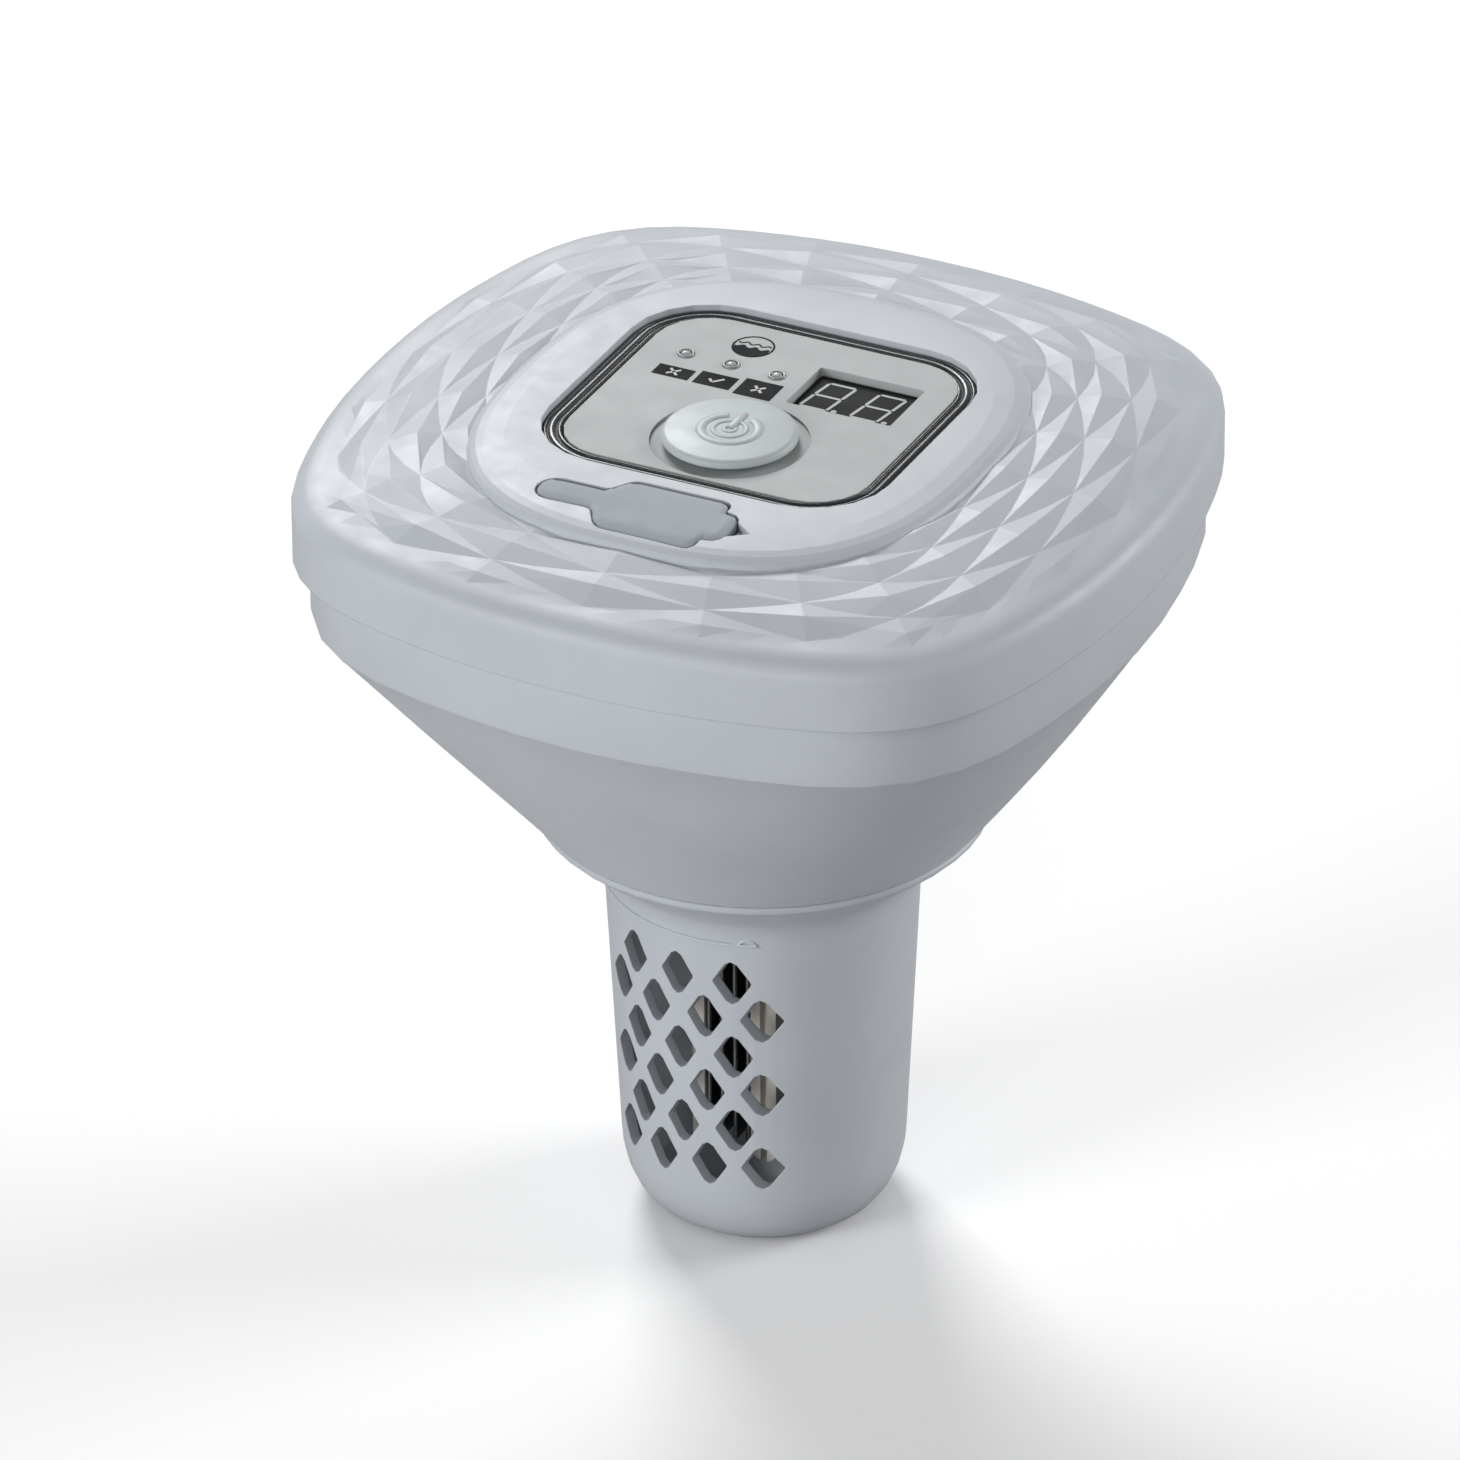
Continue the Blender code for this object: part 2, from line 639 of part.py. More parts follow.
def make_button():
    """A mushroom-shaped cap that floats over its recess on a stem, with a raised power bar."""
    top = PANEL_TOP + BUTTON_RISE
    under = RECESS_FLOOR + BUTTON_TRAVEL + 0.2 * MM
    edge = 1.1 * MM
    chamfer = 0.6 * MM
    rounding = [(BUTTON_RADIUS - edge + edge * math.sin(t), top - edge + edge * math.cos(t))
                for t in [math.pi / 2 * i / 4 for i in range(5)]]
    groove_top = PANEL_BOTTOM - GAP
    groove = 0.9 * MM
    neck = BUTTON_STEM - 0.8 * MM
    profile = [(0.0, top), *rounding, (BUTTON_RADIUS, under + chamfer / 2), (BUTTON_RADIUS - chamfer, under),
               (BUTTON_STEM, under), (BUTTON_STEM, groove_top), (neck, groove_top),
               (neck, groove_top - groove), (BUTTON_STEM, groove_top - groove),
               (BUTTON_STEM, 168.3 * MM), (0.0, 168.3 * MM)]
    button = turned("power_button", profile, LENS_CLEAR, 40, BUTTON_CENTRE)
    bar_middle = (0.0, (POWER_BAR[1] / 2) + 0.4 * MM, top)
    bar = box("power_bar", POWER_BAR, bar_middle, bevel=0.3 * MM, cutter=True)
    bar.parent = button
    join(button, bar)
    ring_top = groove_top - 0.1 * MM
    ring_bottom = groove_top - groove + 0.1 * MM
    ring = [(8.4 * MM, ring_top), (8.4 * MM, ring_bottom), (neck + GAP, ring_bottom), (neck + GAP, ring_top)]
    turned("button_retaining_ring", ring, STEEL, 24, BUTTON_CENTRE)
    plunger = [(0.0, 168.0 * MM), (2.2 * MM, 168.0 * MM), (2.2 * MM, 164.5 * MM), (0.0, 164.5 * MM)]
    turned("switch_plunger", plunger, RUBBER_DARK, 16, BUTTON_CENTRE)
    bottom = BOARD_TOP + GAP
    high = 166.2 * MM
    centre = (*BUTTON_CENTRE, (bottom + high) / 2)
    switch = box("push_switch", (12 * MM, 12 * MM, high - bottom), centre, INNER_PLASTIC, bevel=0.4 * MM)
    bore = cylinder("switch_bore", 2.6 * MM, 163.4 * MM, 170 * MM, at=BUTTON_CENTRE, steps=16, cutter=True)
    cut(switch, bore)


def make_board():
    middle_y = -1.0 * MM
    bottom = BOARD_TOP - BOARD_THICKNESS
    holes = []
    screws_at = []
    for x in (-1, 1):
        for y in (-1, 1):
            at = (x * BOARD_POSTS[0], y * BOARD_POSTS[1] + middle_y)
            screws_at.append(at)
            low, high = bottom - 1 * MM, BOARD_TOP + 1 * MM
            holes.append(cylinder("board_hole", 1.6 * MM, low, high, at=at, steps=12, cutter=True))
    outline = rounded_rectangle(BOARD_SIZE, 2.0 * MM, (0.0, middle_y), 2)
    board = slab("main_circuit_board", [outline], bottom, BOARD_TOP, BOARD_GREEN)
    # Controller chip, inductor and wire connectors on the underside, light emitters on top.
    under = (
        ("chip", (9, 9, 1.4), (6, 6)),
        ("inductor", (7, 7, 3.2), (-8, 8)),
        ("battery_connector", (8, 5, 4.5), (-16, -8)),
        ("electrode_connector", (8, 5, 4.5), (16, -8)),
    )
    for name, size, at in under:
        size = [s * MM for s in size]
        centre = (at[0] * MM, at[1] * MM, bottom - size[2] / 2 + 0.2 * MM)
        join(board, box(name, size, centre, cutter=True))
    for place in LED_PLACES:
        centre = (*place, BOARD_TOP + 0.4 * MM)
        join(board, box("emitter", (2.0 * MM, 1.6 * MM, 1.0 * MM), centre, cutter=True))
    cut(board, *holes)
    for i, at in enumerate(screws_at, 1):
        name = f"circuit_board_screw_{i}"
        screw_fastener(name, at, bottom - GAP, bottom - 1.8 * MM, 168.4 * MM, 2.4 * MM, 1.1 * MM)


def make_port():
    top = 168.3 * MM
    bottom = 160.4 * MM
    socket_face = rounded_rectangle((17 * MM, 11 * MM), 1.5 * MM, (PORT_X, FLAP_CENTRE_Y), 3)
    socket = slab("charging_socket", [socket_face], bottom, top, INNER_PLASTIC)
    mouth = rounded_rectangle((9.4 * MM, 3.6 * MM), 1.7 * MM, (PORT_X, FLAP_CENTRE_Y), 4)
    tongue = (6.6 * MM, 0.8 * MM, 5.4 * MM)
    cut(socket, slab("mouth_cut", [mouth], top - 6 * MM, top + 1 * MM, cutter=True))
    join(socket, box("socket_tongue", tongue, (PORT_X, FLAP_CENTRE_Y, top - 4 * MM), cutter=True))
    board_top = bottom - GAP
    outline = rounded_rectangle((36 * MM, 13 * MM), 2 * MM, (PORT_X, FLAP_CENTRE_Y), 2)
    board = slab("charging_port_board", [outline], board_top - 1.2 * MM, board_top, BOARD_GREEN)
    for i, side in enumerate((-1, 1), 1):
        at = (PORT_X + side * 14.5 * MM, FLAP_CENTRE_Y)
        cut(board, cylinder("port_board_hole", 1.6 * MM, 158 * MM, 161 * MM, at=at, steps=12, cutter=True))
        low = board_top - 1.2 * MM - GAP
        screw_fastener(f"port_board_screw_{i}", at, low, low - 1.5 * MM, 166.4 * MM, 2.4 * MM, 1.1 * MM)


# Bowl


def bowl_sections():
    """(half width, height, squareness) down the outside, round the spigot and up the inside."""
    rise = BAND_BOTTOM - SEAM_HEIGHT
    outside = [(78.9, 157.0), (78.9, 153.2), (79.2, 152.7), (79.5, 149.0), (79.5, 140.6),
               (79.2, 139.2), (78.3, 138.2)]
    sections = [(a * MM, z * MM, 1.0) for a, z in outside]
    steps = 5
    for step in range(1, steps + 1):
        t = 1 - step / steps
        bulge = 1.1 * MM * math.sin(math.pi * t)
        a = SEAM_RADIUS + (78.3 * MM - SEAM_RADIUS) * t + bulge
        sections.append((a, SEAM_HEIGHT + rise * t, t))
    groove_low, groove_high = O_RING_RADIUS - 1.2 * MM, O_RING_RADIUS + 1.2 * MM
    groove_top = SEAM_HEIGHT + 1.8 * MM
    sections += [(groove_high, SEAM_HEIGHT, 0), (groove_high, groove_top, 0),
                 (groove_low, groove_top, 0), (groove_low, SEAM_HEIGHT, 0),
                 (SPIGOT_OUTER, SEAM_HEIGHT, 0), (SPIGOT_OUTER, SPIGOT_BOTTOM, 0),
                 (SPIGOT_INNER, SPIGOT_BOTTOM, 0), (SPIGOT_INNER, SEAM_HEIGHT, 0),
                 (HEAD_BORE, SEAM_HEIGHT, 0), (HEAD_BORE, FLOOR_TOP, 0)]
    for step in range(steps + 1):
        t = step / steps
        bulge = 1.1 * MM * math.sin(math.pi * t)
        a = SEAM_RADIUS + (78.3 * MM - SEAM_RADIUS) * t + bulge - BOWL_WALL - 0.6 * MM * (1 - t)
        sections.append((a, max(FLOOR_TOP, SEAM_HEIGHT + rise * t + 1.2 * MM), t))
    sections += [(79.2 * MM - BOWL_WALL, 141.5 * MM, 1.0), (76.1 * MM, 151 * MM, 1.0),
                 (76.1 * MM, RIM_TOP, 1.0)]
    return sections


def helical_lug(name, inner, outer, low, high, start_degrees):
    """A rib along a helix: a rectangular section swept round the axis as it rises."""
    bm = bmesh.new()
    corners = [(inner, low), (outer, low), (outer, high), (inner, high)]
    turn = Matrix.Rotation(math.radians(start_degrees), 3, "Z")
    section = bm.faces.new([bm.verts.new(turn @ Vector((r, 0.0, z))) for r, z in corners])
    steps = 6
    rise = LUG_LEAD * LUG_SPAN / 360.0
    swept = bmesh.ops.spin(
        bm, geom=[section, *section.edges, *section.verts], cent=(0, 0, 0), axis=(0, 0, 1),
        dvec=(0, 0, rise / steps), angle=math.radians(LUG_SPAN), steps=steps, use_duplicate=False,
    )
    return from_bmesh(name, bm, cutter=True)


def make_bowl():
    bm = bmesh.new()
    rings = [head_ring(bm, a, z, BOWL_WAVES, square, 2) for a, z, square in bowl_sections()]
    bridge_all(bm, rings)
    bridge(bm, rings[-1], rings[0])
    bowl = from_bmesh("lower_bowl", bm, SHELL_GREY, smooth_degrees=25.0)
    for start in (0, 120, 240):
        join(bowl, helical_lug("spigot_lug", SPIGOT_OUTER - 1 * MM, 36.4 * MM, 84.7 * MM, 86.0 * MM, start))
    for i in range(3):
        at = polar(27.0 * MM, 30 + 120 * i)
        join(bowl, cylinder("head_boss", 2.9 * MM, FLOOR_TOP - 1 * MM, 98 * MM, at=at, steps=12, cutter=True))
    for at in cradle_posts():
        foot = FLOOR_TOP - 1 * MM
        join(bowl, cylinder("cradle_post", 3.2 * MM, foot, 101 * MM, at=at, steps=12, cutter=True))
    for i in range(3):
        at = polar(27.0 * MM, 30 + 120 * i)
        cut(bowl, cylinder("head_pilot", 1.5 * MM, 85 * MM, 96.5 * MM, at=at, steps=12, cutter=True))
    for at in cradle_posts():
        cut(bowl, cylinder("cradle_pilot", 1.5 * MM, 95 * MM, 105 * MM, at=at, steps=12, cutter=True))


def polar(radius, degrees):
    return (radius * math.cos(math.radians(degrees)), radius * math.sin(math.radians(degrees)))


def cradle_posts():
    return [(x * 24.0 * MM, y * 25.0 * MM) for x in (-1, 1) for y in (-1, 1)]


def make_seals():
    bm = bmesh.new()
    middle, half = 77.4 * MM, 0.9 * MM
    low, high = 157.3 * MM, 158.9 * MM
    corners = [(middle + half, low), (middle + half, high), (middle - half, high), (middle - half, low)]
    rings = [head_ring(bm, a, z, BOWL_WAVES, per_column=2) for a, z in corners]
    bridge_all(bm, rings)
    bridge(bm, rings[-1], rings[0])
    from_bmesh("cover_seal", bm, RUBBER_DARK)
    round_ring("neck_o_ring", O_RING_RADIUS, 0.75 * MM, SEAM_HEIGHT + 0.95 * MM)
    round_ring("electrode_head_o_ring", 22.85 * MM, 0.8 * MM, 91.0 * MM)


def round_ring(name, major, minor, height):
    points = [(major + minor * math.cos(t), height + minor * math.sin(t))
              for t in [math.pi / 3 * (0.5 - i) for i in range(6)]]
    return turned(name, points, RUBBER_DARK, 32)


# Guard


def guard_radius(height):
    """The guard's outer radius on its tapered wall."""
    t = (height - GUARD_LOW) / (GUARD_TOP - GUARD_LOW)
    return GUARD_LOW_RADIUS + (GUARD_TOP_RADIUS - GUARD_LOW_RADIUS) * t


def guard_profile():
    top = SEAM_HEIGHT - GAP
    outside = [(44.1 * MM, top), (44.5 * MM, top - 0.5 * MM), (44.3 * MM, 87.4 * MM), (43.2 * MM, 86.3 * MM),
               (33.9 * MM, 78.9 * MM), (32.2 * MM, 76.6 * MM), (31.3 * MM, 73.9 * MM),
               (guard_radius(70.6 * MM), 70.6 * MM)]
    steps = 6
    for step in range(steps + 1):
        turn = math.pi / 2 * step / steps
        outside.append((GUARD_FLAT_RADIUS + (GUARD_LOW_RADIUS - GUARD_FLAT_RADIUS) * math.cos(turn),
                        GUARD_LOW - GUARD_LOW * math.sin(turn)))
    inside = [(0.0, 0.0), (0.0, GUARD_WALL), (GUARD_FLAT_RADIUS - 1 * MM, GUARD_WALL)]
    steps = 4
    for step in range(steps, -1, -1):
        turn = math.pi / 2 * step / steps
        inside.append((GUARD_FLAT_RADIUS - 1 * MM
                       + (GUARD_LOW_RADIUS - GUARD_WALL - GUARD_FLAT_RADIUS + 1 * MM) * math.cos(turn),
                       GUARD_LOW - (GUARD_LOW - GUARD_WALL) * math.sin(turn)))
    inside += [(GUARD_TOP_RADIUS - GUARD_WALL, 76.0 * MM), (29.9 * MM, 79.8 * MM), (39.3 * MM, 86.8 * MM),
               (39.3 * MM, top)]
    return outside + inside[:2] + inside[3:]


def slot_outline():
    half_width, half_height = SLOT_SIZE[0] / 2, SLOT_SIZE[1] / 2
    corners = [(half_width, 0.0), (0.0, half_height), (-half_width, 0.0), (0.0, -half_height)]
    return rounded_outline(corners, [0.5 * MM, 1.3 * MM, 0.5 * MM, 1.3 * MM], 2)


def slot_places():
    """(panel's angle, slot's angle, height) of every slot of both panels, in degrees."""
    for panel in (PANEL_TURN - 90.0, PANEL_TURN + 90.0):
        for column in range(-3, 4):
            top = SLOT_TOP_ROW + (SLOT_ROW_PITCH / 2 if column % 2 == 0 else 0.0)
            for row in range(3):
                yield panel, panel + column * SLOT_PITCH_DEGREES, top - row * SLOT_ROW_PITCH


def make_guard():
    guard = turned("electrode_guard", guard_profile(), SHELL_GREY, 48)
    for start in (0, 120, 240):
        join(guard, helical_lug("guard_lug", 34.7 * MM, 39.8 * MM, 86.4 * MM, 87.6 * MM, start))
    slots = bpy.data.collections.new("slot_cutters")
    CUTTERS.children.link(slots)
    shape = slab("slot_shape", [slot_outline()], -7 * MM, 7 * MM, cutter=True)
    for panel, angle, height in slot_places():
        cutter = bpy.data.objects.new("slot_cutter", shape.data)
        upright = Matrix.Rotation(math.radians(90), 4, "X")
        turn = Matrix.Rotation(math.radians(panel + 90), 4, "Z")
        place = Matrix.Translation(Vector((*polar(guard_radius(height), angle), height)))
        cutter.matrix_world = place @ turn @ upright
        cutter.hide_render = True
        cutter.display_type = "WIRE"
        slots.objects.link(cutter)
    bpy.data.objects.remove(shape)
    modifier = guard.modifiers.new("slots", "BOOLEAN")
    modifier.operation = "DIFFERENCE"
    modifier.operand_type = "COLLECTION"
    modifier.collection = slots
    modifier.solver = "EXACT"


# Electrodes


def terminal_places():
    return ((CASSETTE_X - PLATE_PITCH, 8.0 * MM), (CASSETTE_X + PLATE_PITCH, -8.0 * MM))


def make_electrode_head():
    """The plug that closes the bowl's bore and carries the electrodes."""
    top = SEAM_HEIGHT - GAP
    boss = HEAD_BORE - GAP - 0.2 * MM
    groove = boss - 1.8 * MM
    profile = [(0.0, 96 * MM), (boss - 0.6 * MM, 96 * MM), (boss, 95.4 * MM), (boss, 92.0 * MM),
               (groove, 92.0 * MM), (groove, 90.0 * MM), (boss, 90.0 * MM), (boss, top),
               (SPIGOT_INNER - GAP, top), (SPIGOT_INNER - GAP, HEAD_PLATE_BOTTOM), (0.0, HEAD_PLATE_BOTTOM)]
    head = turned("electrode_head", profile, INNER_PLASTIC, 36)
    for at in terminal_places():
        cut(head, cylinder("terminal_hole", 1.6 * MM + GAP, 80 * MM, 100 * MM, at=at, steps=12, cutter=True))
    for i in range(3):
        at = polar(27.0 * MM, 30 + 120 * i)
        cut(head, cylinder("head_hole", 1.7 * MM, 80 * MM, 91 * MM, at=at, steps=12, cutter=True))
        screw_fastener(f"electrode_head_screw_{i + 1}", at, HEAD_PLATE_BOTTOM - GAP,
                       HEAD_PLATE_BOTTOM - 2.1 * MM, 95.5 * MM, 2.8 * MM, 1.2 * MM)


def make_terminals():
    for side, at in zip(("left", "right"), terminal_places()):
        cylinder("electrode_terminal_" + side, 1.6 * MM, 82.8 * MM, 100 * MM, STEEL, 12, at)
        nut = turned("terminal_nut_" + side, [(3.2 * MM, 98.5 * MM), (3.2 * MM, 96.3 * MM),
                                              (1.9 * MM, 96.3 * MM), (1.9 * MM, 98.5 * MM)], STEEL, 6, at)
        nut.rotation_euler.z = math.radians(30)


def make_cassette():
    inner = 1.5 * PLATE_PITCH + PLATE_THICKNESS / 2 + GAP
    left, right = (inner + leg for leg in FRAME_LEGS)
    depth = PLATE_DEPTH
    # An upside-down U seen from the front; its legs end in round tips.
    high, yoke = HEAD_PLATE_BOTTOM - GAP, 77 * MM
    corners = [(-left, high), (-left, FRAME_BOTTOM), (-inner, FRAME_BOTTOM), (-inner, yoke),
               (inner, yoke), (inner, FRAME_BOTTOM), (right, FRAME_BOTTOM), (right, high)]
    radii = [0.5 * MM, 1.2 * MM, 1.2 * MM, 0.3 * MM, 0.3 * MM, 2.6 * MM, 2.6 * MM, 0.5 * MM]
    outline = rounded_outline(corners, radii, 4)
    frame = slab("electrode_frame", [outline], -depth / 2, depth / 2, CREAM_PLASTIC)
    frame.data.transform(Matrix.Rotation(math.radians(90), 4, "X"))
    frame.location.x = CASSETTE_X
    for face in (-1, 1):
        centre = (CASSETTE_X + (inner + right) / 2, face * depth / 2, 44 * MM)
        cut(frame, box("leg_groove", (1.3 * MM, 4.0 * MM, 70 * MM), centre, cutter=True))
    for i in range(4):
        x = CASSETTE_X + (i - 1.5) * PLATE_PITCH
        slot = (PLATE_THICKNESS + 2 * GAP, depth + 2 * MM, 10 * MM)
        cut(frame, box("plate_slot", slot, (x, 0.0, PLATE_TOP + GAP - slot[2] / 2), cutter=True))
        size = (PLATE_THICKNESS, depth - 1.0 * MM, PLATE_TOP - PLATE_BOTTOM)
        box(f"electrode_plate_{i + 1}", size, (x, 0.0, (PLATE_TOP + PLATE_BOTTOM) / 2), COATED_TITANIUM)
    for at in terminal_places():
        cut(frame, cylinder("frame_hole", 1.6 * MM + GAP, 82.0 * MM, 90 * MM, at=at, steps=12, cutter=True))


# Battery


def make_battery():
    length = CELL_LENGTH + 4 * MM
    tray_low, tray_high = 101.3 * MM, 108 * MM
    size = (length + 2 * MM, 58 * MM, tray_high - tray_low)
    tray = box("battery_cradle", size, (0, 0, (tray_low + tray_high) / 2), INNER_PLASTIC)
    for i, side in enumerate((-1, 1), 1):
        profile = [(0.0, CELL_LENGTH / 2), (CELL_RADIUS - 0.6 * MM, CELL_LENGTH / 2),
                   (CELL_RADIUS, CELL_LENGTH / 2 - 0.6 * MM), (CELL_RADIUS, -CELL_LENGTH / 2 + 0.6 * MM),
                   (CELL_RADIUS - 0.6 * MM, -CELL_LENGTH / 2), (0.0, -CELL_LENGTH / 2)]
        cell = turned(f"battery_cell_{i}", profile, CELL_WRAP, 24)
        cell.location = (0.0, side * CELL_Y, CELL_Z)
        cell.rotation_euler.y = math.radians(90)
        bed = [(0.0, length / 2), (CELL_RADIUS + GAP, length / 2), (CELL_RADIUS + GAP, -length / 2),
               (0.0, -length / 2)]
        hollow = turned("cell_bed", bed, steps=24, cutter=True)
        hollow.location = (0.0, side * CELL_Y, CELL_Z)
        hollow.rotation_euler.y = math.radians(90)
        hollow.scale = (1.0, 1.0, (CELL_LENGTH + 2 * GAP) / length)
        cut(tray, hollow)
    strap = slab("battery_strap", [strap_section()], -5 * MM, 5 * MM, INNER_PLASTIC)
    upright = Matrix.Rotation(math.radians(90), 4, "X")
    strap.data.transform(Matrix.Rotation(math.radians(90), 4, "Z") @ upright)
    for i, at in enumerate(cradle_posts(), 1):
        hole = cylinder("cradle_hole", 1.7 * MM, 100 * MM, 103.2 * MM, at=at, steps=12, cutter=True)
        seat = cylinder("cradle_seat", 3.3 * MM, 103.0 * MM, 112 * MM, at=at, steps=16, cutter=True)
        cut(tray, seat, hole)
        screw_fastener(f"cradle_screw_{i}", at, 103.3 * MM, 104.9 * MM, 96.5 * MM, 2.7 * MM, 1.2 * MM)


def strap_section():
    """The strap's outline across the cells, as (y, z): over both cells and down to the tray."""
    reach = CELL_RADIUS + GAP
    wall = 1.2 * MM
    outer = []
    inner = []
    for i in range(9):
        turn = math.pi / 2 * i / 8
        way = Vector((math.cos(turn), math.sin(turn)))
        outer.append(Vector((CELL_Y, CELL_Z)) + (reach + wall) * way)
        inner.append(Vector((CELL_Y, CELL_Z)) + reach * way)
    low = 108.3 * MM
    right = [Vector((CELL_Y + reach + wall, low)), *outer]
    under = [*reversed(inner), Vector((CELL_Y + reach, low))]
    left = [Vector((-p.x, p.y)) for p in reversed(right)]
    left_under = [Vector((-p.x, p.y)) for p in reversed(under)]
    return [*right, *left, *left_under, *under]


make_cover()
make_flap()
make_panel()
make_gasket()
make_display()
make_light_pipes()
make_button()
make_board()
make_port()
make_bowl()
make_seals()
make_guard()
make_electrode_head()
make_terminals()
make_cassette()
make_battery()
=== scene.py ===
"""Looks for the floating electrolytic chlorine dispenser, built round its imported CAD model.

Metres, +Z up, front -Y. The large mouldings are smoothed copies of their CAD nodes. Printed marks,
display digits, beads and bright plate edges are small pieces of their own.
"""

import json
import math

import bmesh
import bpy
from mathutils import Matrix, Vector
from mathutils.bvhtree import BVHTree


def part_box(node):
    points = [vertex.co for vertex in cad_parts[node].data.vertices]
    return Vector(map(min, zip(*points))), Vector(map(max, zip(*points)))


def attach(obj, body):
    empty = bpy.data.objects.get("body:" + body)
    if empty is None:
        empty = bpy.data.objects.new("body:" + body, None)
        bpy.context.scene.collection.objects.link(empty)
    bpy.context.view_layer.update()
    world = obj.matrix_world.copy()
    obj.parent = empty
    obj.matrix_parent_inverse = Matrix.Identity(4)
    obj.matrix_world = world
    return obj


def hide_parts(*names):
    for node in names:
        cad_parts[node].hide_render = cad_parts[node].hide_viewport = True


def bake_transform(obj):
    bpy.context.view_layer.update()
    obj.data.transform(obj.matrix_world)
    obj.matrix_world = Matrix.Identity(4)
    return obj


MM = 0.001

# Camera, above the object and to the right of its front; degrees, metres and a lens in mm
CAMERA_AZIMUTH = math.radians(26.45)
CAMERA_ELEVATION = math.radians(29.97)
CAMERA_ROLL = math.radians(0.40)
CAMERA_DISTANCE = 2.5205
CAMERA_LENS = 322.2
CAMERA_AIM = Vector((-6.35 * MM, -1.16 * MM, 101.5 * MM))

# Material noise: grains per metre of the slow colour drift and of the uneven gloss
DRIFT_SCALE = 45.0
GLOSS_SCALE = 160.0

# Vertices nearer than this are one vertex
WELD = 0.002 * MM

# Control panel marks: thickness of the print, then each label's x0, y0, x1, y1 in mm and its symbol
PRINT = 0.06 * MM
LABELS = (
    ("left", (-24.7, 3.0, -17.1, 7.0), "cross"),
    ("middle", (-16.0, 2.9, -8.3, 7.8), "tick"),
    ("right", (-7.1, 2.3, 0.7, 8.8), "cross"),
)
SYMBOL_SIZE = 1.1 * MM
SYMBOL_STROKE = 0.55 * MM

# Water mark: centre and radius, the widths of its lines, and the filled half's share of the radius
WATER_MARK = ((-11.6 * MM, 20.6 * MM), 4.2 * MM)
WATER_RING = 0.35 * MM
WATER_CREST = 0.3 * MM
WATER_FILL = 0.93

# Display
DIGIT_HEIGHT = 10.2 * MM
DIGIT_WIDTH = 5.6 * MM
DIGIT_PITCH = 10.6 * MM
DIGIT_SHIFT = 0.5 * MM
DIGIT_SLANT = math.tan(math.radians(9.0))
SEGMENT_WIDTH = 0.62 * MM
SEGMENT_RISE = 0.05 * MM
POINT_RADIUS = 0.6 * MM
POINT_OFFSET = (1.5 * MM, 0.3 * MM)

# Indicator lights
LED_FLANGE = 1.15 * MM
LED_BEZEL = 0.32 * MM
LED_BEZEL_RISE = 0.05 * MM

# Gasket beads, in mm: name, inset from the gasket's edge, half width, half height
GASKET_CORNER = 15.6 * MM
GASKET_BEADS = (
    ("outer", 0.55, 0.34, 0.34),
    ("middle", 1.85, 0.70, 0.42),
    ("inner", 3.35, 0.42, 0.42),
)

# Power button: how far its CAD bar stands over its face, then the relief of its symbol. Each ring
# has a radius, half width and half height in mm and its two end angles; the bar has y and z in mm
BUTTON_BAR_RISE = 0.45 * MM
BUTTON_RINGS = (
    ("ring", 5.5, 1.0, 0.34, 118, 422),
    ("inner", 3.2, 0.5, 0.22, 60, 420),
    ("dot", 1.1, 0.5, 0.2, 0, 360),
)
BUTTON_BAR = ((0.6, 0.0), (3.5, 0.1), (6.4, 0.1))
BUTTON_BAR_WIDTH = 0.62 * MM
BUTTON_BAR_HEIGHT = 0.4 * MM

# Stage: how far the floor lies under the object, how pale it looks, and how much light it throws
# back up. Each light has a place in metres, a size in metres and a power in watts
FLOOR_DROP = 0.2 * MM
FLOOR_SIZE = 12.0
FLOOR_SEEN = 0.93
FLOOR_BOUNCE = 0.38
WORLD_STRENGTH = 0.26
LIGHT_TARGET = (0.0, 0.0, 0.12)
LIGHTS = (
    ("back_left", (-1.3, 1.5, 1.5), 0.9, 44.0),
    ("front_left", (-1.4, -2.3, 0.9), 1.1, 36.0),
    ("back_right", (1.6, 1.4, 0.7), 1.0, 31.0),
    ("front", (0.3, -2.0, 0.35), 1.0, 16.0),
)

# Creases sharper than these degrees stay sharp in the smoothed mouldings
COVER_CREASE = 28
BOWL_CREASE = 28
GUARD_CREASE = 30
PANEL_CREASE = 25
CAP_CREASE = 40

# Cover facets: how far their foot lies below the cover's top, and the softest crease among them
FACET_BAND = 6.95 * MM
FACET_CREASE = math.radians(4.0)

# Line round the guard's neck, and the lock mark at its end; angles in degrees
NECK_LINE_RADIUS = 31.15 * MM
NECK_LINE_HEIGHT = 72.5 * MM
NECK_LINE_START = -162.0
NECK_LINE_END = -66.0
NECK_LINE_WIDTH = 0.34 * MM
LOCK_MARK_TURN = 7.0
LOCK_MARK_LIFT = 1.3 * MM
LOCK_MARK_WIDTH = 0.3 * MM

# Bare metal along the edges of the electrode plates
PLATE_EDGE_RADIUS = 0.28 * MM
PLATE_EDGE_INSET = 0.3 * MM

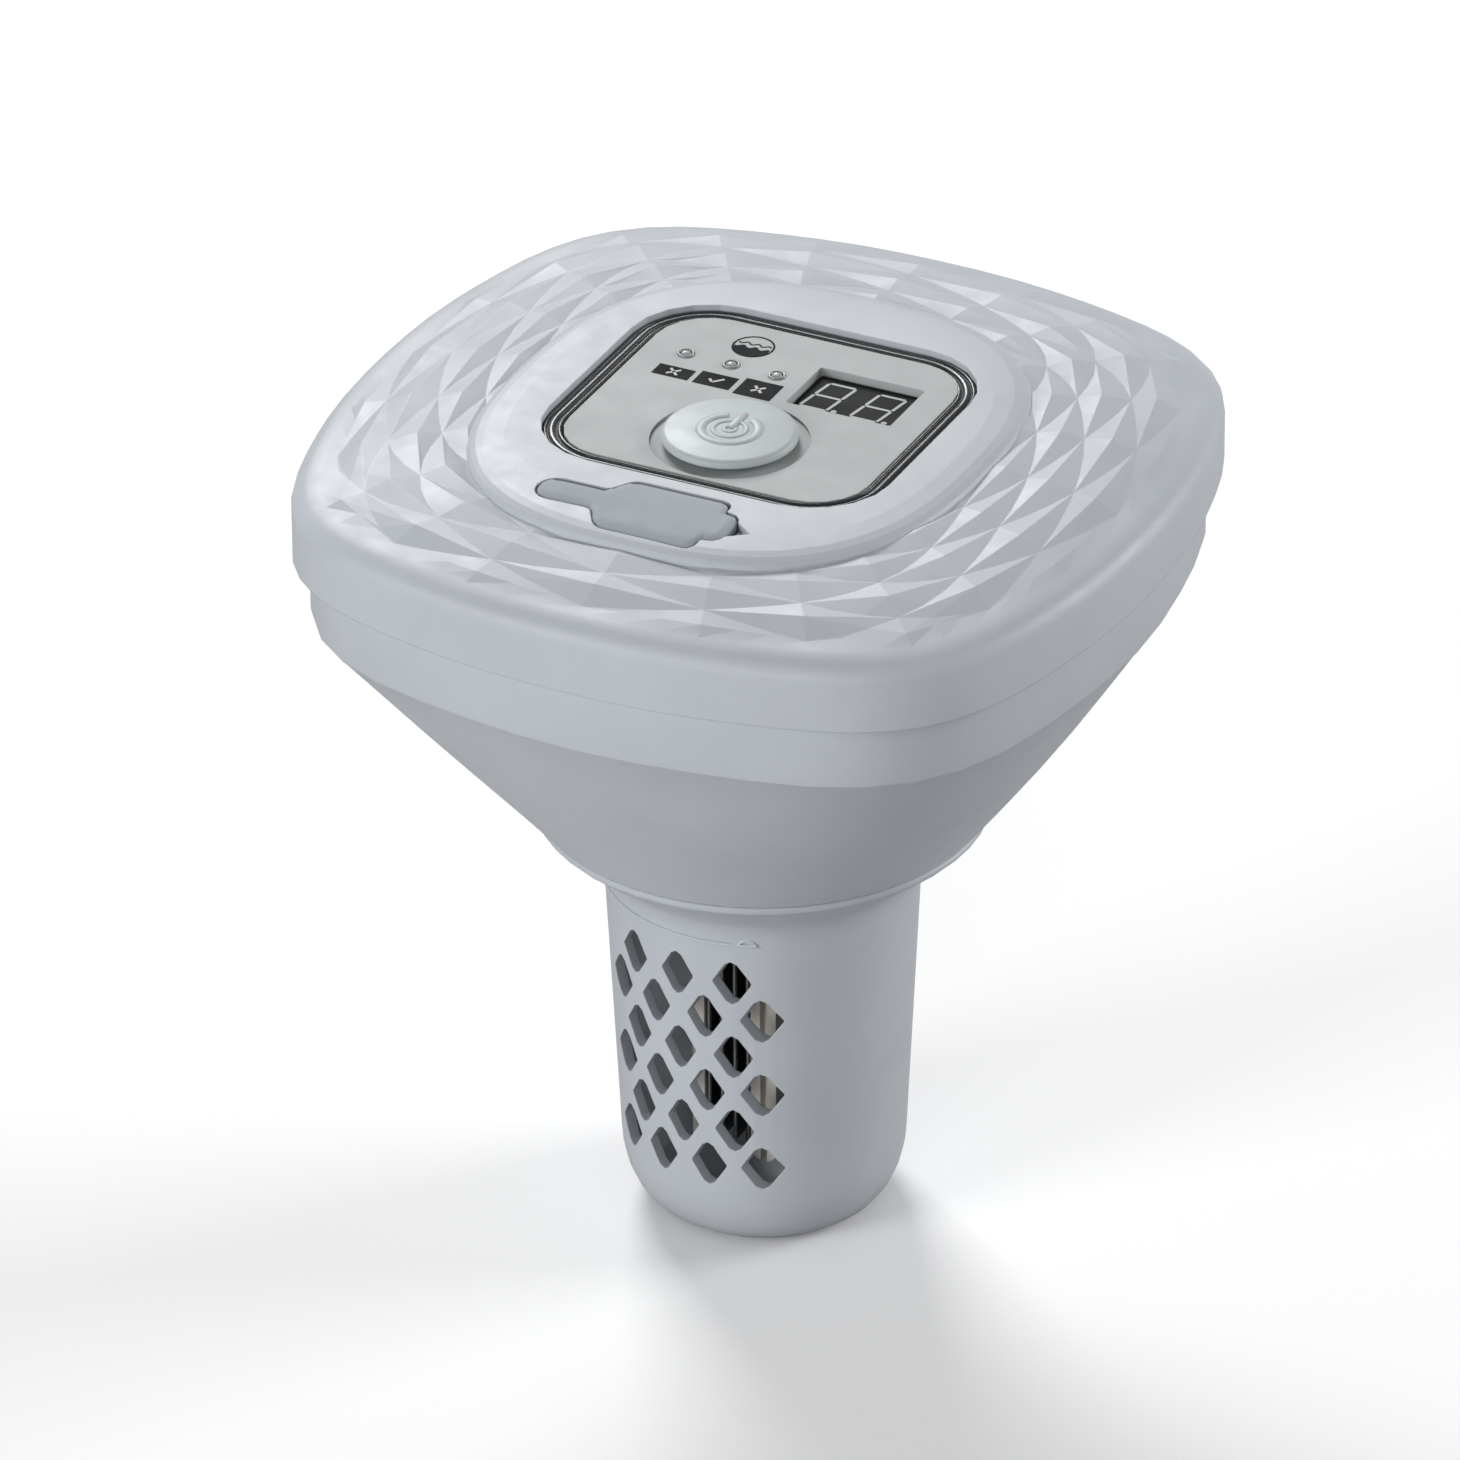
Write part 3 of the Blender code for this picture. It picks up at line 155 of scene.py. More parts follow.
# Charging port flap: x, half width and corner radius, from the lift tab's root to the strap's
FLAP_SHOULDERS = (
    (13.0 * MM, 5.2 * MM, 0.8 * MM),
    (13.0 * MM, 8.9 * MM, 2.8 * MM),
    (-7.4 * MM, 8.9 * MM, 3.4 * MM),
    (-10.6 * MM, 3.7 * MM, 1.8 * MM),
)
FLAP_TAB_CORNER = 3.1 * MM
FLAP_ROUNDING = 0.7 * MM
FLAP_ROUNDING_STEPS = (0.15, 0.25, 0.35)
FLAP_CUTS = (0.6 * MM, 1.6 * MM)  # spacing of the cuts across x and y
FLAP_UNDERSIDE = 0.2 * MM  # above the bottom of the CAD strap
FLAP_SEAM = 0.4 * MM  # wider than the gap between the CAD flap and strap

# Plug lip under the flap: its size, its top below the flap's top, and its lower edge's bevel
PLUG_LIP = Vector((13.8 * MM, 7.4 * MM))
PLUG_LIP_TOP = 2.2 * MM
PLUG_LIP_BEVEL = 0.5 * MM

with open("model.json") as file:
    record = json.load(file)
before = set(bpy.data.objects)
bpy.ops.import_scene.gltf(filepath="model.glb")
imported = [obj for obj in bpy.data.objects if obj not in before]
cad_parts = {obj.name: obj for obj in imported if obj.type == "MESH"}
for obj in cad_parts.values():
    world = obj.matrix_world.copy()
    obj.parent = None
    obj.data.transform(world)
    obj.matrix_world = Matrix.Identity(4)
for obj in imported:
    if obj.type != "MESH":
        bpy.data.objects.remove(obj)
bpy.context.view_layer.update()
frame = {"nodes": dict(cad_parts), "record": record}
NODES = frame["nodes"]


def middle_of(node):
    low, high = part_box(node)
    return (low + high) / 2


def top_of(node):
    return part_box(node)[1].z


# Materials


def new_material(name):
    made = bpy.data.materials.new(name)
    made.use_nodes = True
    return made, made.node_tree.nodes, made.node_tree.links


def noise(nodes, links, scale, detail=3.0, stretch=(1.0, 1.0, 1.0)):
    """Noise in the object's own metres: a scale of 1000 gives grains of about a millimetre."""
    coordinates = nodes.new("ShaderNodeTexCoord")
    mapping = nodes.new("ShaderNodeMapping")
    mapping.inputs["Scale"].default_value = stretch
    made = nodes.new("ShaderNodeTexNoise")
    made.inputs["Scale"].default_value = scale
    made.inputs["Detail"].default_value = detail
    links.new(coordinates.outputs["Object"], mapping.inputs["Vector"])
    links.new(mapping.outputs["Vector"], made.inputs["Vector"])
    return made.outputs["Fac"]


def spread(nodes, links, source, low, high):
    """The source from 0.3 to 0.7 mapped to low to high."""
    made = nodes.new("ShaderNodeMapRange")
    made.inputs["From Min"].default_value = 0.3
    made.inputs["From Max"].default_value = 0.7
    made.inputs["To Min"].default_value = low
    made.inputs["To Max"].default_value = high
    links.new(source, made.inputs["Value"])
    return made.outputs["Result"]


def blend_colours(nodes, links, factor, first, second):
    made = nodes.new("ShaderNodeMix")
    made.data_type = "RGBA"
    made.inputs["A"].default_value = (*first, 1.0)
    made.inputs["B"].default_value = (*second, 1.0)
    links.new(factor, made.inputs["Factor"])
    return made.outputs["Result"]


def finish(
    name, colour, roughness, metallic=0.0, grain=2200.0, relief=0.02 * MM, mottle=0.03,
    edge=0.0, stretch=(1.0, 1.0, 1.0), **sockets,
):
    """A moulded or worked surface: slow colour drift, uneven gloss and a fine grain."""
    made, nodes, links = new_material(name)
    shader = nodes["Principled BSDF"]
    drift = spread(nodes, links, noise(nodes, links, DRIFT_SCALE, 4.0), 0.0, 1.0)
    darker = [c * (1 - mottle) for c in colour]
    lighter = [min(1.0, c * (1 + mottle)) for c in colour]
    links.new(blend_colours(nodes, links, drift, darker, lighter), shader.inputs["Base Color"])
    patches = noise(nodes, links, GLOSS_SCALE, 4.0)
    gloss = spread(nodes, links, patches, roughness * 0.9, roughness * 1.12)
    links.new(gloss, shader.inputs["Roughness"])
    shader.inputs["Metallic"].default_value = metallic
    bump = nodes.new("ShaderNodeBump")
    bump.inputs["Strength"].default_value = 1.0
    bump.inputs["Distance"].default_value = relief
    links.new(noise(nodes, links, grain, 2.0, stretch), bump.inputs["Height"])
    if edge:
        rounding = nodes.new("ShaderNodeBevel")
        rounding.samples = 6
        rounding.inputs["Radius"].default_value = edge
        links.new(rounding.outputs["Normal"], bump.inputs["Normal"])
    links.new(bump.outputs["Normal"], shader.inputs["Normal"])
    for socket, value in sockets.items():
        shader.inputs[socket.replace("_", " ")].default_value = value
    return made


SHELL = finish(
    "shell_plastic", (0.465, 0.494, 0.532), 0.46, edge=0.35 * MM, Specular_IOR_Level=0.35,
)
PANEL = finish(
    "panel_film", (0.400, 0.423, 0.424), 0.50, relief=0.012 * MM, grain=4200.0, edge=0.2 * MM,
    Specular_IOR_Level=0.2,
)
# Panel gasket: its near-black colour is painted shade, standing for the shaded walls of the recess
# round the panel window
GASKET_PAINTED_SHADE = finish(
    "gasket_painted_shade", (0.022, 0.024, 0.027), 0.5, grain=3000.0, edge=0.2 * MM,
    Specular_IOR_Level=0.2,
)
# The beads' dark colour carries on the ring's painted shade; their bright lines come from their
# gloss
BEAD = finish(
    "bead_gloss", (0.040, 0.044, 0.048), 0.26, relief=0.006 * MM, Specular_IOR_Level=0.45,
)
SILICONE = finish(
    "flap_silicone", (0.325, 0.358, 0.392), 0.66, relief=0.03 * MM, edge=0.3 * MM,
    Specular_IOR_Level=0.2, Sheen_Weight=0.1,
)
LENS = finish(
    "milky_lens", (0.36, 0.385, 0.385), 0.34, relief=0.006 * MM, edge=0.4 * MM, Coat_Weight=0.15,
)
BUTTON = finish(
    "milky_button", (0.43, 0.475, 0.48), 0.42, relief=0.01 * MM, edge=0.4 * MM, mottle=0.02,
    Subsurface_Weight=0.3, Subsurface_Scale=0.002, Specular_IOR_Level=0.3,
)
DISPLAY = finish(
    "display_face", (0.009, 0.010, 0.012), 0.5, grain=1500.0, mottle=0.25, Specular_IOR_Level=0.05,
)
SEGMENT = finish("segment_unlit", (0.46, 0.48, 0.48), 0.5, Specular_IOR_Level=0.2)
PRINT_DARK = finish("print_dark", (0.009, 0.010, 0.012), 0.6, mottle=0.2, Specular_IOR_Level=0.05)
PRINT_LIGHT = finish("print_light", (0.50, 0.52, 0.52), 0.5, Specular_IOR_Level=0.2)
BEZEL = finish("led_bezel", (0.24, 0.255, 0.255), 0.40, metallic=0.3)
CREAM = finish("cream_moulding", (0.62, 0.60, 0.545), 0.42, edge=0.3 * MM)
COATING = finish(
    "oxide_coating", (0.030, 0.030, 0.033), 0.52, metallic=0.5, grain=5000.0, relief=0.04 * MM,
    mottle=0.3,
)
TITANIUM = finish("bare_titanium", (0.62, 0.62, 0.61), 0.28, metallic=1.0, stretch=(1.0, 1.0, 0.05))
STEEL = finish("stainless", (0.60, 0.60, 0.61), 0.30, metallic=1.0, stretch=(1.0, 1.0, 0.08))
BOARD = finish(
    "solder_mask", (0.015, 0.13, 0.055), 0.35, grain=900.0, relief=0.03 * MM, mottle=0.25,
    Coat_Weight=0.4,
)
SLEEVE = finish(
    "cell_sleeve", (0.04, 0.13, 0.38), 0.32, grain=700.0, relief=0.02 * MM, Coat_Weight=0.3,
)
# Inner moulding: its near-black colour is painted shade, standing for grey plastic in shadow inside
# the object
INNER_PAINTED_SHADE = finish("inner_painted_shade", (0.045, 0.046, 0.05), 0.5, edge=0.2 * MM)

SLOT_FINISH = {
    "shell_grey": SHELL,
    "panel_grey": PANEL,
    "rubber_dark": GASKET_PAINTED_SHADE,
    "rubber_grey": SILICONE,
    "lens_clear": LENS,
    "display_black": DISPLAY,
    "board_green": BOARD,
    "steel": STEEL,
    "cell_wrap": SLEEVE,
    "inner_plastic": INNER_PAINTED_SHADE,
    "cream_plastic": CREAM,
    "coated_titanium": COATING,
}


def dress_nodes():
    """Every CAD node takes the finish of its material slot."""
    for part in frame["record"]["subparts"]:
        data = NODES[part["node"]].data
        data.materials.clear()
        data.materials.append(SLOT_FINISH[part["material_slot"]])


# Pieces


def mesh_of(name, bm):
    mesh = bpy.data.meshes.new(name)
    bm.to_mesh(mesh)
    bm.free()
    return mesh


def place(name, mesh, material, body):
    obj = bpy.data.objects.new(name, mesh)
    bpy.context.scene.collection.objects.link(obj)
    mesh.materials.clear()
    mesh.materials.append(material)
    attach(obj, body)
    return obj


def skin(node, name, material, body, smooth, facets_above=math.inf):
    """A copy of a CAD node, shaded smooth but for creases over smooth degrees.

    Above the height facets_above, every crease over FACET_CREASE stays sharp.
    """
    source = NODES[node].data
    bm = bmesh.new()
    verts = [bm.verts.new(v.co) for v in source.vertices]
    for face in source.polygons:
        bm.faces.new([verts[i] for i in face.vertices])
    bmesh.ops.remove_doubles(bm, verts=bm.verts, dist=WELD)
    for edge in bm.edges:
        middle = (edge.verts[0].co.z + edge.verts[1].co.z) / 2
        limit = FACET_CREASE if middle > facets_above else math.radians(smooth)
        edge.smooth = edge.calc_face_angle(math.pi) < limit
    mesh = mesh_of(name, bm)
    for face in mesh.polygons:
        face.use_smooth = True
    obj = place(name, mesh, material, body)
    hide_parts(node)
    return obj


def prints(name, outlines, height, material, body, thickness=PRINT):
    """Thin flat shapes standing on a level face: each outline is a list of (x, y)."""
    bm = bmesh.new()
    for outline in outlines:
        face = bm.faces.new([bm.verts.new((x, y, height)) for x, y in outline])
        swept = bmesh.ops.extrude_face_region(bm, geom=[face])
        raised = [v for v in swept["geom"] if isinstance(v, bmesh.types.BMVert)]
        bmesh.ops.translate(bm, verts=raised, vec=(0.0, 0.0, thickness))
    bmesh.ops.recalc_face_normals(bm, faces=bm.faces)
    return place(name, mesh_of(name, bm), material, body)


def tube(name, points, radius, material, body, closed=False, height=None):
    """A bead along its points: round, or flattened to a height above and below a level line."""
    curve = bpy.data.curves.new(name, "CURVE")
    curve.dimensions = "3D"
    curve.bevel_depth = radius
    curve.bevel_resolution = 3
    curve.use_fill_caps = True
    spline = curve.splines.new("POLY")
    spline.points.add(len(points) - 1)
    for point, at in zip(spline.points, points):
        point.co = (*at, 1.0)
    spline.use_cyclic_u = closed
    outline = bpy.data.objects.new(name + "_curve", curve)
    bpy.context.scene.collection.objects.link(outline)
    graph = bpy.context.evaluated_depsgraph_get()
    mesh = bpy.data.meshes.new_from_object(outline.evaluated_get(graph))
    bpy.data.objects.remove(outline)
    if height is not None:
        level = points[0][2]
        for vertex in mesh.vertices:
            vertex.co.z = level + (vertex.co.z - level) * height / radius
    mesh.shade_smooth()
    return place(name, mesh, material, body)


def arc(centre, radius, start, end, steps):
    """Points round a circle, angles in degrees."""
    angles = [math.radians(start + (end - start) * i / steps) for i in range(steps + 1)]
    return [(centre[0] + radius * math.cos(a), centre[1] + radius * math.sin(a)) for a in angles]


def band(centre, inner, outer, start=0.0, end=360.0, steps=48):
    """A flat ring, or part of one, as outlines of one step each."""
    inside = arc(centre, inner, start, end, steps)
    outside = arc(centre, outer, start, end, steps)
    return [[inside[i], outside[i], outside[i + 1], inside[i + 1]] for i in range(steps)]


def rounded_outline(corners, radii, steps=6):
    """The closed outline through these corners, each replaced by an arc of its radius."""
    points = []
    for i, (corner, radius) in enumerate(zip(corners, radii)):
        here = Vector(corner)
        before = (Vector(corners[i - 1]) - here).normalized()
        after = (Vector(corners[(i + 1) % len(corners)]) - here).normalized()
        half = before.angle(after) / 2
        centre = here + (before + after).normalized() * radius / math.sin(half)
        start = here + before * radius / math.tan(half) - centre
        way = 1 if before.x * after.y - before.y * after.x < 0 else -1
        turn = way * (math.pi - 2 * half)
        for step in range(steps + 1):
            points.append(centre + Matrix.Rotation(turn * step / steps, 2) @ start)
    return points


def rounded_rectangle(low, high, radius, steps=8):
    corners = [(high[0], high[1]), (low[0], high[1]), (low[0], low[1]), (high[0], low[1])]
    return rounded_outline(corners, [radius] * 4, steps)


def bar(start, end, width):
    """A rectangle along a line."""
    start, end = Vector(start), Vector(end)
    side = (end - start).normalized().orthogonal() * width / 2
    return [start - side, end - side, end + side, start + side][::-1]


# Panel


def label_symbol(kind, centre, size):
    x, y = centre
    if kind == "cross":
        return [
            bar((x - size, y - size), (x + size, y + size), SYMBOL_STROKE),
            bar((x - size, y + size), (x + size, y - size), SYMBOL_STROKE),
        ]
    elbow = (x - 0.3 * size, y - 0.8 * size)
    return [
        bar((x - 1.2 * size, y + 0.1 * size), elbow, SYMBOL_STROKE),
        bar(elbow, (x + 1.3 * size, y + 0.9 * size), SYMBOL_STROKE),
    ]


def make_labels(height):
    for side, (x0, y0, x1, y1), kind in LABELS:
        x0, y0, x1, y1 = (v * MM for v in (x0, y0, x1, y1))
        outline = [(x0, y0), (x1, y0), (x1, y1), (x0, y1)]
        prints("label_" + side, [outline], height, PRINT_DARK, "head")
        middle = ((x0 + x1) / 2, (y0 + y1) / 2)
        symbol = label_symbol(kind, middle, SYMBOL_SIZE)
        prints(
            "label_symbol_" + side, symbol, height + PRINT, PRINT_LIGHT, "head",
            PRINT / 2,
        )


def wave_line(centre, half, height, amplitude, turns, steps=24):
    points = []
    for i in range(steps + 1):
        t = -1 + 2 * i / steps
        rise = height + amplitude * math.sin(math.pi * turns * t)
        points.append((centre[0] + half * t, centre[1] + rise))
    return points


def circle_bottom(centre, radius, x):
    return centre[1] - math.sqrt(max(0.0, radius**2 - (x - centre[0]) ** 2))


def make_water_mark(height):
    """A ring, water in its lower half and the line of a wave above."""
    centre, radius = WATER_MARK
    ring = band(centre, radius - WATER_RING, radius)
    prints("water_mark_ring", ring, height, PRINT_DARK, "head")
    filled = WATER_FILL * radius
    surface = wave_line(centre, filled, -0.1 * radius, 0.10 * radius, 3)
    fill = []
    for (xa, ya), (xb, yb) in zip(surface, surface[1:]):
        a, b = circle_bottom(centre, filled, xa), circle_bottom(centre, filled, xb)
        fill.append([(xa, min(ya, a)), (xb, min(yb, b)), (xb, max(yb, b)), (xa, max(ya, a))])
    prints("water_mark_fill", fill[1:-1], height, PRINT_DARK, "head")
    crest = wave_line(centre, radius * 0.8, 0.22 * radius, 0.09 * radius, 3)
    lines = [bar(a, b, WATER_CREST) for a, b in zip(crest, crest[1:])]
    prints("water_mark_crest", lines, height, PRINT_DARK, "head")


def make_lights(panel_top):
    for side in ("left", "middle", "right"):
        node = "light_pipe_" + side
        centre = middle_of(node)
        radius = (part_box(node)[1].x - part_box(node)[0].x) / 2 - LED_FLANGE + LED_BEZEL
        ring = [(x, y, panel_top + LED_BEZEL_RISE) for x, y in arc(centre, radius, 0, 345, 23)]
        tube("led_bezel_" + side, ring, LED_BEZEL, BEZEL, "head", closed=True)
        skin(node, "led_lens_" + side, LENS, "head", CAP_CREASE)


def segment(start, end, width):
    """A display segment: a bar with pointed ends."""
    start, end = Vector(start), Vector(end)
    along = (end - start).normalized()
    start, end = start + along * 0.15 * width, end - along * 0.15 * width
    side = Vector((-along.y, along.x)) * width / 2
    point = along * width / 2
    return [
        start,
        start + point - side,
        end - point - side,
        end,
        end - point + side,
        start + point + side,
    ]


def make_digits():
    """Two seven-segment figures, leaning to the right, each with a decimal point."""
    low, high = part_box("display_module")
    centre = (low + high) / 2
    width, half = DIGIT_WIDTH / 2, DIGIT_HEIGHT / 2
    level = [((-width, y), (width, y)) for y in (half, 0, -half)]
    upright = [((x, top), (x, top - half)) for x in (-width, width) for top in (half, 0)]
    shapes = []
    for digit in (-0.5, 0.5):
        at = Vector((centre.x + digit * DIGIT_PITCH - DIGIT_SHIFT, centre.y))
        for start, end in level + upright:
            outline = segment(start, end, SEGMENT_WIDTH)
            shapes.append([at + Vector((p.x + DIGIT_SLANT * p.y, p.y)) for p in outline])
        dot = at + Vector((width + POINT_OFFSET[0] - DIGIT_SLANT * half, -half + POINT_OFFSET[1]))
        shapes.append(arc(dot, POINT_RADIUS, 0, 330, 11))
    prints("display_segments", shapes, high.z, SEGMENT, "head", SEGMENT_RISE)


def make_gasket():
    """Glossy beads on the gasket's dark ring of painted shade: fine ones along both edges and a
    broad one between them.
    """
    low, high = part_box("panel_gasket")
    for name, inset, radius, height in GASKET_BEADS:
        inset *= MM
        low_corner = (low.x + inset, low.y + inset)
        high_corner = (high.x - inset, high.y - inset)
        outline = rounded_rectangle(low_corner, high_corner, GASKET_CORNER - inset, 12)
        points = [(x, y, high.z) for x, y in outline]
        tube(
            "gasket_bead_" + name, points, radius * MM, BEAD, "head", closed=True,
            height=height * MM,
        )


def make_button():
    """The cap, with a power symbol in low relief: a broad open ring, an inner ring and a bar."""
    skin("power_button", "button_cap", BUTTON, "button", CAP_CREASE)
    centre = middle_of("power_button")
    face = top_of("power_button") - BUTTON_BAR_RISE
    for name, radius, width, height, start, end in BUTTON_RINGS:
        points = [(x, y, face) for x, y in arc(centre, radius * MM, start, end, 48)]
        closed = end - start == 360
        tube(
            "button_symbol_" + name, points[:-1] if closed else points, width * MM, BUTTON,
            "button", closed=closed, height=height * MM,
        )
    stroke = [(centre.x, centre.y + y * MM, face + rise * MM) for y, rise in BUTTON_BAR]
    tube(
        "button_symbol_bar", stroke, BUTTON_BAR_WIDTH, BUTTON, "button",
        height=BUTTON_BAR_HEIGHT,
    )


def make_panel():
    skin("control_panel", "panel_plate", PANEL, "head", PANEL_CREASE)
    height = top_of("control_panel")
    make_labels(height)
    make_water_mark(height)
    make_lights(height)
    make_digits()
    make_gasket()
    make_button()


# Mouldings


def make_mouldings():
    facets_above = top_of("top_cover") - FACET_BAND
    skin("top_cover", "cover_moulding", SHELL, "head", COVER_CREASE, facets_above)
    skin("lower_bowl", "bowl_moulding", SHELL, "head", BOWL_CREASE)
    skin("electrode_guard", "guard_moulding", SHELL, "guard", GUARD_CREASE)


def flap_outline():
    """Strap and flap as one piece: a round-ended strap, curved shoulders and a lift tab."""
    strap_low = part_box("flap_strap")[0]
    flap_low, flap_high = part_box("charging_port_flap")
    middle = (flap_low.y + flap_high.y) / 2
    strap = middle - strap_low.y
    tab = FLAP_SHOULDERS[0][1]
    upper = [*FLAP_SHOULDERS, (strap_low.x, strap, strap * 0.98)]
    turns = [(flap_high.x, -tab, FLAP_TAB_CORNER), (flap_high.x, tab, FLAP_TAB_CORNER), *upper]
    turns += [(x, -y, radius) for x, y, radius in reversed(upper)]
    return rounded_outline([(x, y + middle) for x, y, _ in turns], [r for *_, r in turns])


def top_finder(*nodes):
    """A function that gives the height of these CAD nodes' upper surface at (x, y)."""
    points, faces = [], []
    for node in nodes:
        mesh = NODES[node].data
        faces += [[len(points) + i for i in face.vertices] for face in mesh.polygons]
        points += [v.co.copy() for v in mesh.vertices]
    tree = BVHTree.FromPolygons(points, faces)

    def height(x, y):
        for shift in (0.0, FLAP_SEAM, -FLAP_SEAM):
            hit = tree.ray_cast(Vector((x + shift, y, 1.0)), Vector((0.0, 0.0, -1.0)))[0]
            if hit:
                return hit.z
        return tree.find_nearest(Vector((x, y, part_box(nodes[0])[1].z)))[0].z

    return height


def edge_distance(point, outline):
    """How far a point lies inside a closed outline."""
    nearest = math.inf
    for a, b in zip(outline, outline[1:] + outline[:1]):
        along = b - a
        share = max(0.0, min(1.0, (point - a).dot(along) / max(along.length_squared, 1e-12)))
        nearest = min(nearest, (point - a - share * along).length)
    return nearest


def flap_sheet(outline):
    """The outline as a flat sheet, with closer rings at its edge and cuts across it."""
    bm = bmesh.new()
    face = bm.faces.new([bm.verts.new((p.x, p.y, 0.0)) for p in outline])
    for step in FLAP_ROUNDING_STEPS:
        bmesh.ops.inset_region(bm, faces=[face], thickness=step * FLAP_ROUNDING)
    low, high = Vector(map(min, *outline)), Vector(map(max, *outline))
    cuts = []
    for axis, spacing in enumerate(FLAP_CUTS):
        normal = Vector((0, 0, 0))
        normal[axis] = 1
        for i in range(int((high[axis] - low[axis]) / spacing)):
            cuts.append((normal, low[axis] + i * spacing))
    for normal, at in cuts:
        geometry = [*bm.verts, *bm.edges, *bm.faces]
        bmesh.ops.bisect_plane(bm, geom=geometry, plane_co=normal * at, plane_no=normal, dist=1e-7)
    return bm


def edge_drop(inside):
    """How far the rounded edge lies below the upper surface, this far inside the outline."""
    reach = max(0.0, FLAP_ROUNDING - inside)
    return FLAP_ROUNDING - math.sqrt(max(0.0, FLAP_ROUNDING**2 - reach**2))


def make_flap():
    """One soft rubber piece over both the strap and the flap."""
    outline = flap_outline()
    height = top_finder("charging_port_flap", "flap_strap")
    bm = flap_sheet(outline)
    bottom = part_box("flap_strap")[0].z + FLAP_UNDERSIDE
    under = bmesh.ops.duplicate(bm, geom=[*bm.verts, *bm.edges, *bm.faces])["geom"]
    under_verts = {v for v in under if isinstance(v, bmesh.types.BMVert)}
    under_faces = [f for f in under if isinstance(f, bmesh.types.BMFace)]
    for vertex in bm.verts:
        if vertex in under_verts:
            vertex.co.z = bottom
            continue
        drop = edge_drop(edge_distance(vertex.co.xy, outline))
        vertex.co.z = height(vertex.co.x, vertex.co.y) - drop
    bmesh.ops.reverse_faces(bm, faces=under_faces)
    bmesh.ops.bridge_loops(bm, edges=[e for e in bm.edges if e.is_boundary])
    bmesh.ops.recalc_face_normals(bm, faces=bm.faces)
    mesh = mesh_of("flap_skin", bm)
    mesh.shade_smooth()
    mesh.set_sharp_from_angle(angle=math.radians(50))
    flap = bpy.data.objects.new("flap_skin", mesh)
    bpy.context.scene.collection.objects.link(flap)
    mesh.materials.append(SILICONE)
    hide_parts("charging_port_flap", "flap_strap")
    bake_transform(flap)


def make_plug_lip():
    """The lip under the flap that plugs the charging port."""
    low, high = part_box("charging_port_flap")
    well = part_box("charging_socket")
    centre = (well[0] + well[1]) / 2
    half = PLUG_LIP / 2
    levels = (
        (PLUG_LIP_BEVEL, low.z),
        (0.0, low.z + PLUG_LIP_BEVEL),
        (0.0, high.z - PLUG_LIP_TOP),
    )
    rings = []
    bm = bmesh.new()
    for inset, z in levels:
        low_corner = (centre.x - half.x + inset, centre.y - half.y + inset)
        high_corner = (centre.x + half.x - inset, centre.y + half.y - inset)
        outline = rounded_rectangle(low_corner, high_corner, half.y - 0.1 * MM - inset)
        rings.append([bm.verts.new((x, y, z)) for x, y in outline])
    for lower, upper in zip(rings, rings[1:]):
        for i in range(len(lower)):
            j = (i + 1) % len(lower)
            bm.faces.new((lower[i], lower[j], upper[j], upper[i]))
    bm.faces.new(rings[0])
    bm.faces.new(rings[-1])
    bmesh.ops.recalc_face_normals(bm, faces=bm.faces)
    mesh = mesh_of("flap_plug_lip", bm)
    mesh.shade_smooth()
    mesh.set_sharp_from_angle(angle=math.radians(40))
    place("flap_plug_lip", mesh, SILICONE, "flap")


def on_neck(degrees, lift=0.0):
    """The point on the neck line at an angle, or above it."""
    angle = math.radians(degrees)
    x, y = NECK_LINE_RADIUS * math.cos(angle), NECK_LINE_RADIUS * math.sin(angle)
    return x, y, NECK_LINE_HEIGHT + lift


def make_neck_line():
    """A fine raised line round the guard's neck, front and back, that ends in a small lock mark."""
    sweep = NECK_LINE_END - NECK_LINE_START
    for side, turn in (("front", 0.0), ("back", 180.0)):
        line = [on_neck(turn + NECK_LINE_START + sweep * i / 48) for i in range(49)]
        tube("neck_line_" + side, line, NECK_LINE_WIDTH, SHELL, "guard")
        mark = []
        for i in range(9):
            t = i / 8
            lift = LOCK_MARK_LIFT * math.sin(math.pi * t)
            mark.append(on_neck(turn + NECK_LINE_END - LOCK_MARK_TURN * t, lift))
        tube("lock_mark_" + side, mark, LOCK_MARK_WIDTH, SHELL, "guard")


def make_plate_edges():
    """The bare titanium edges of the coated plates."""
    for i in range(1, 5):
        low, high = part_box(f"electrode_plate_{i}")
        x = (low.x + high.x) / 2
        for side, y in (("front", low.y), ("back", high.y)):
            points = [(x, y, low.z + PLATE_EDGE_INSET), (x, y, high.z - PLATE_EDGE_INSET)]
            tube(
                f"plate_edge_{side}_{i}", points, PLATE_EDGE_RADIUS, TITANIUM, "head",
            )


# Stage


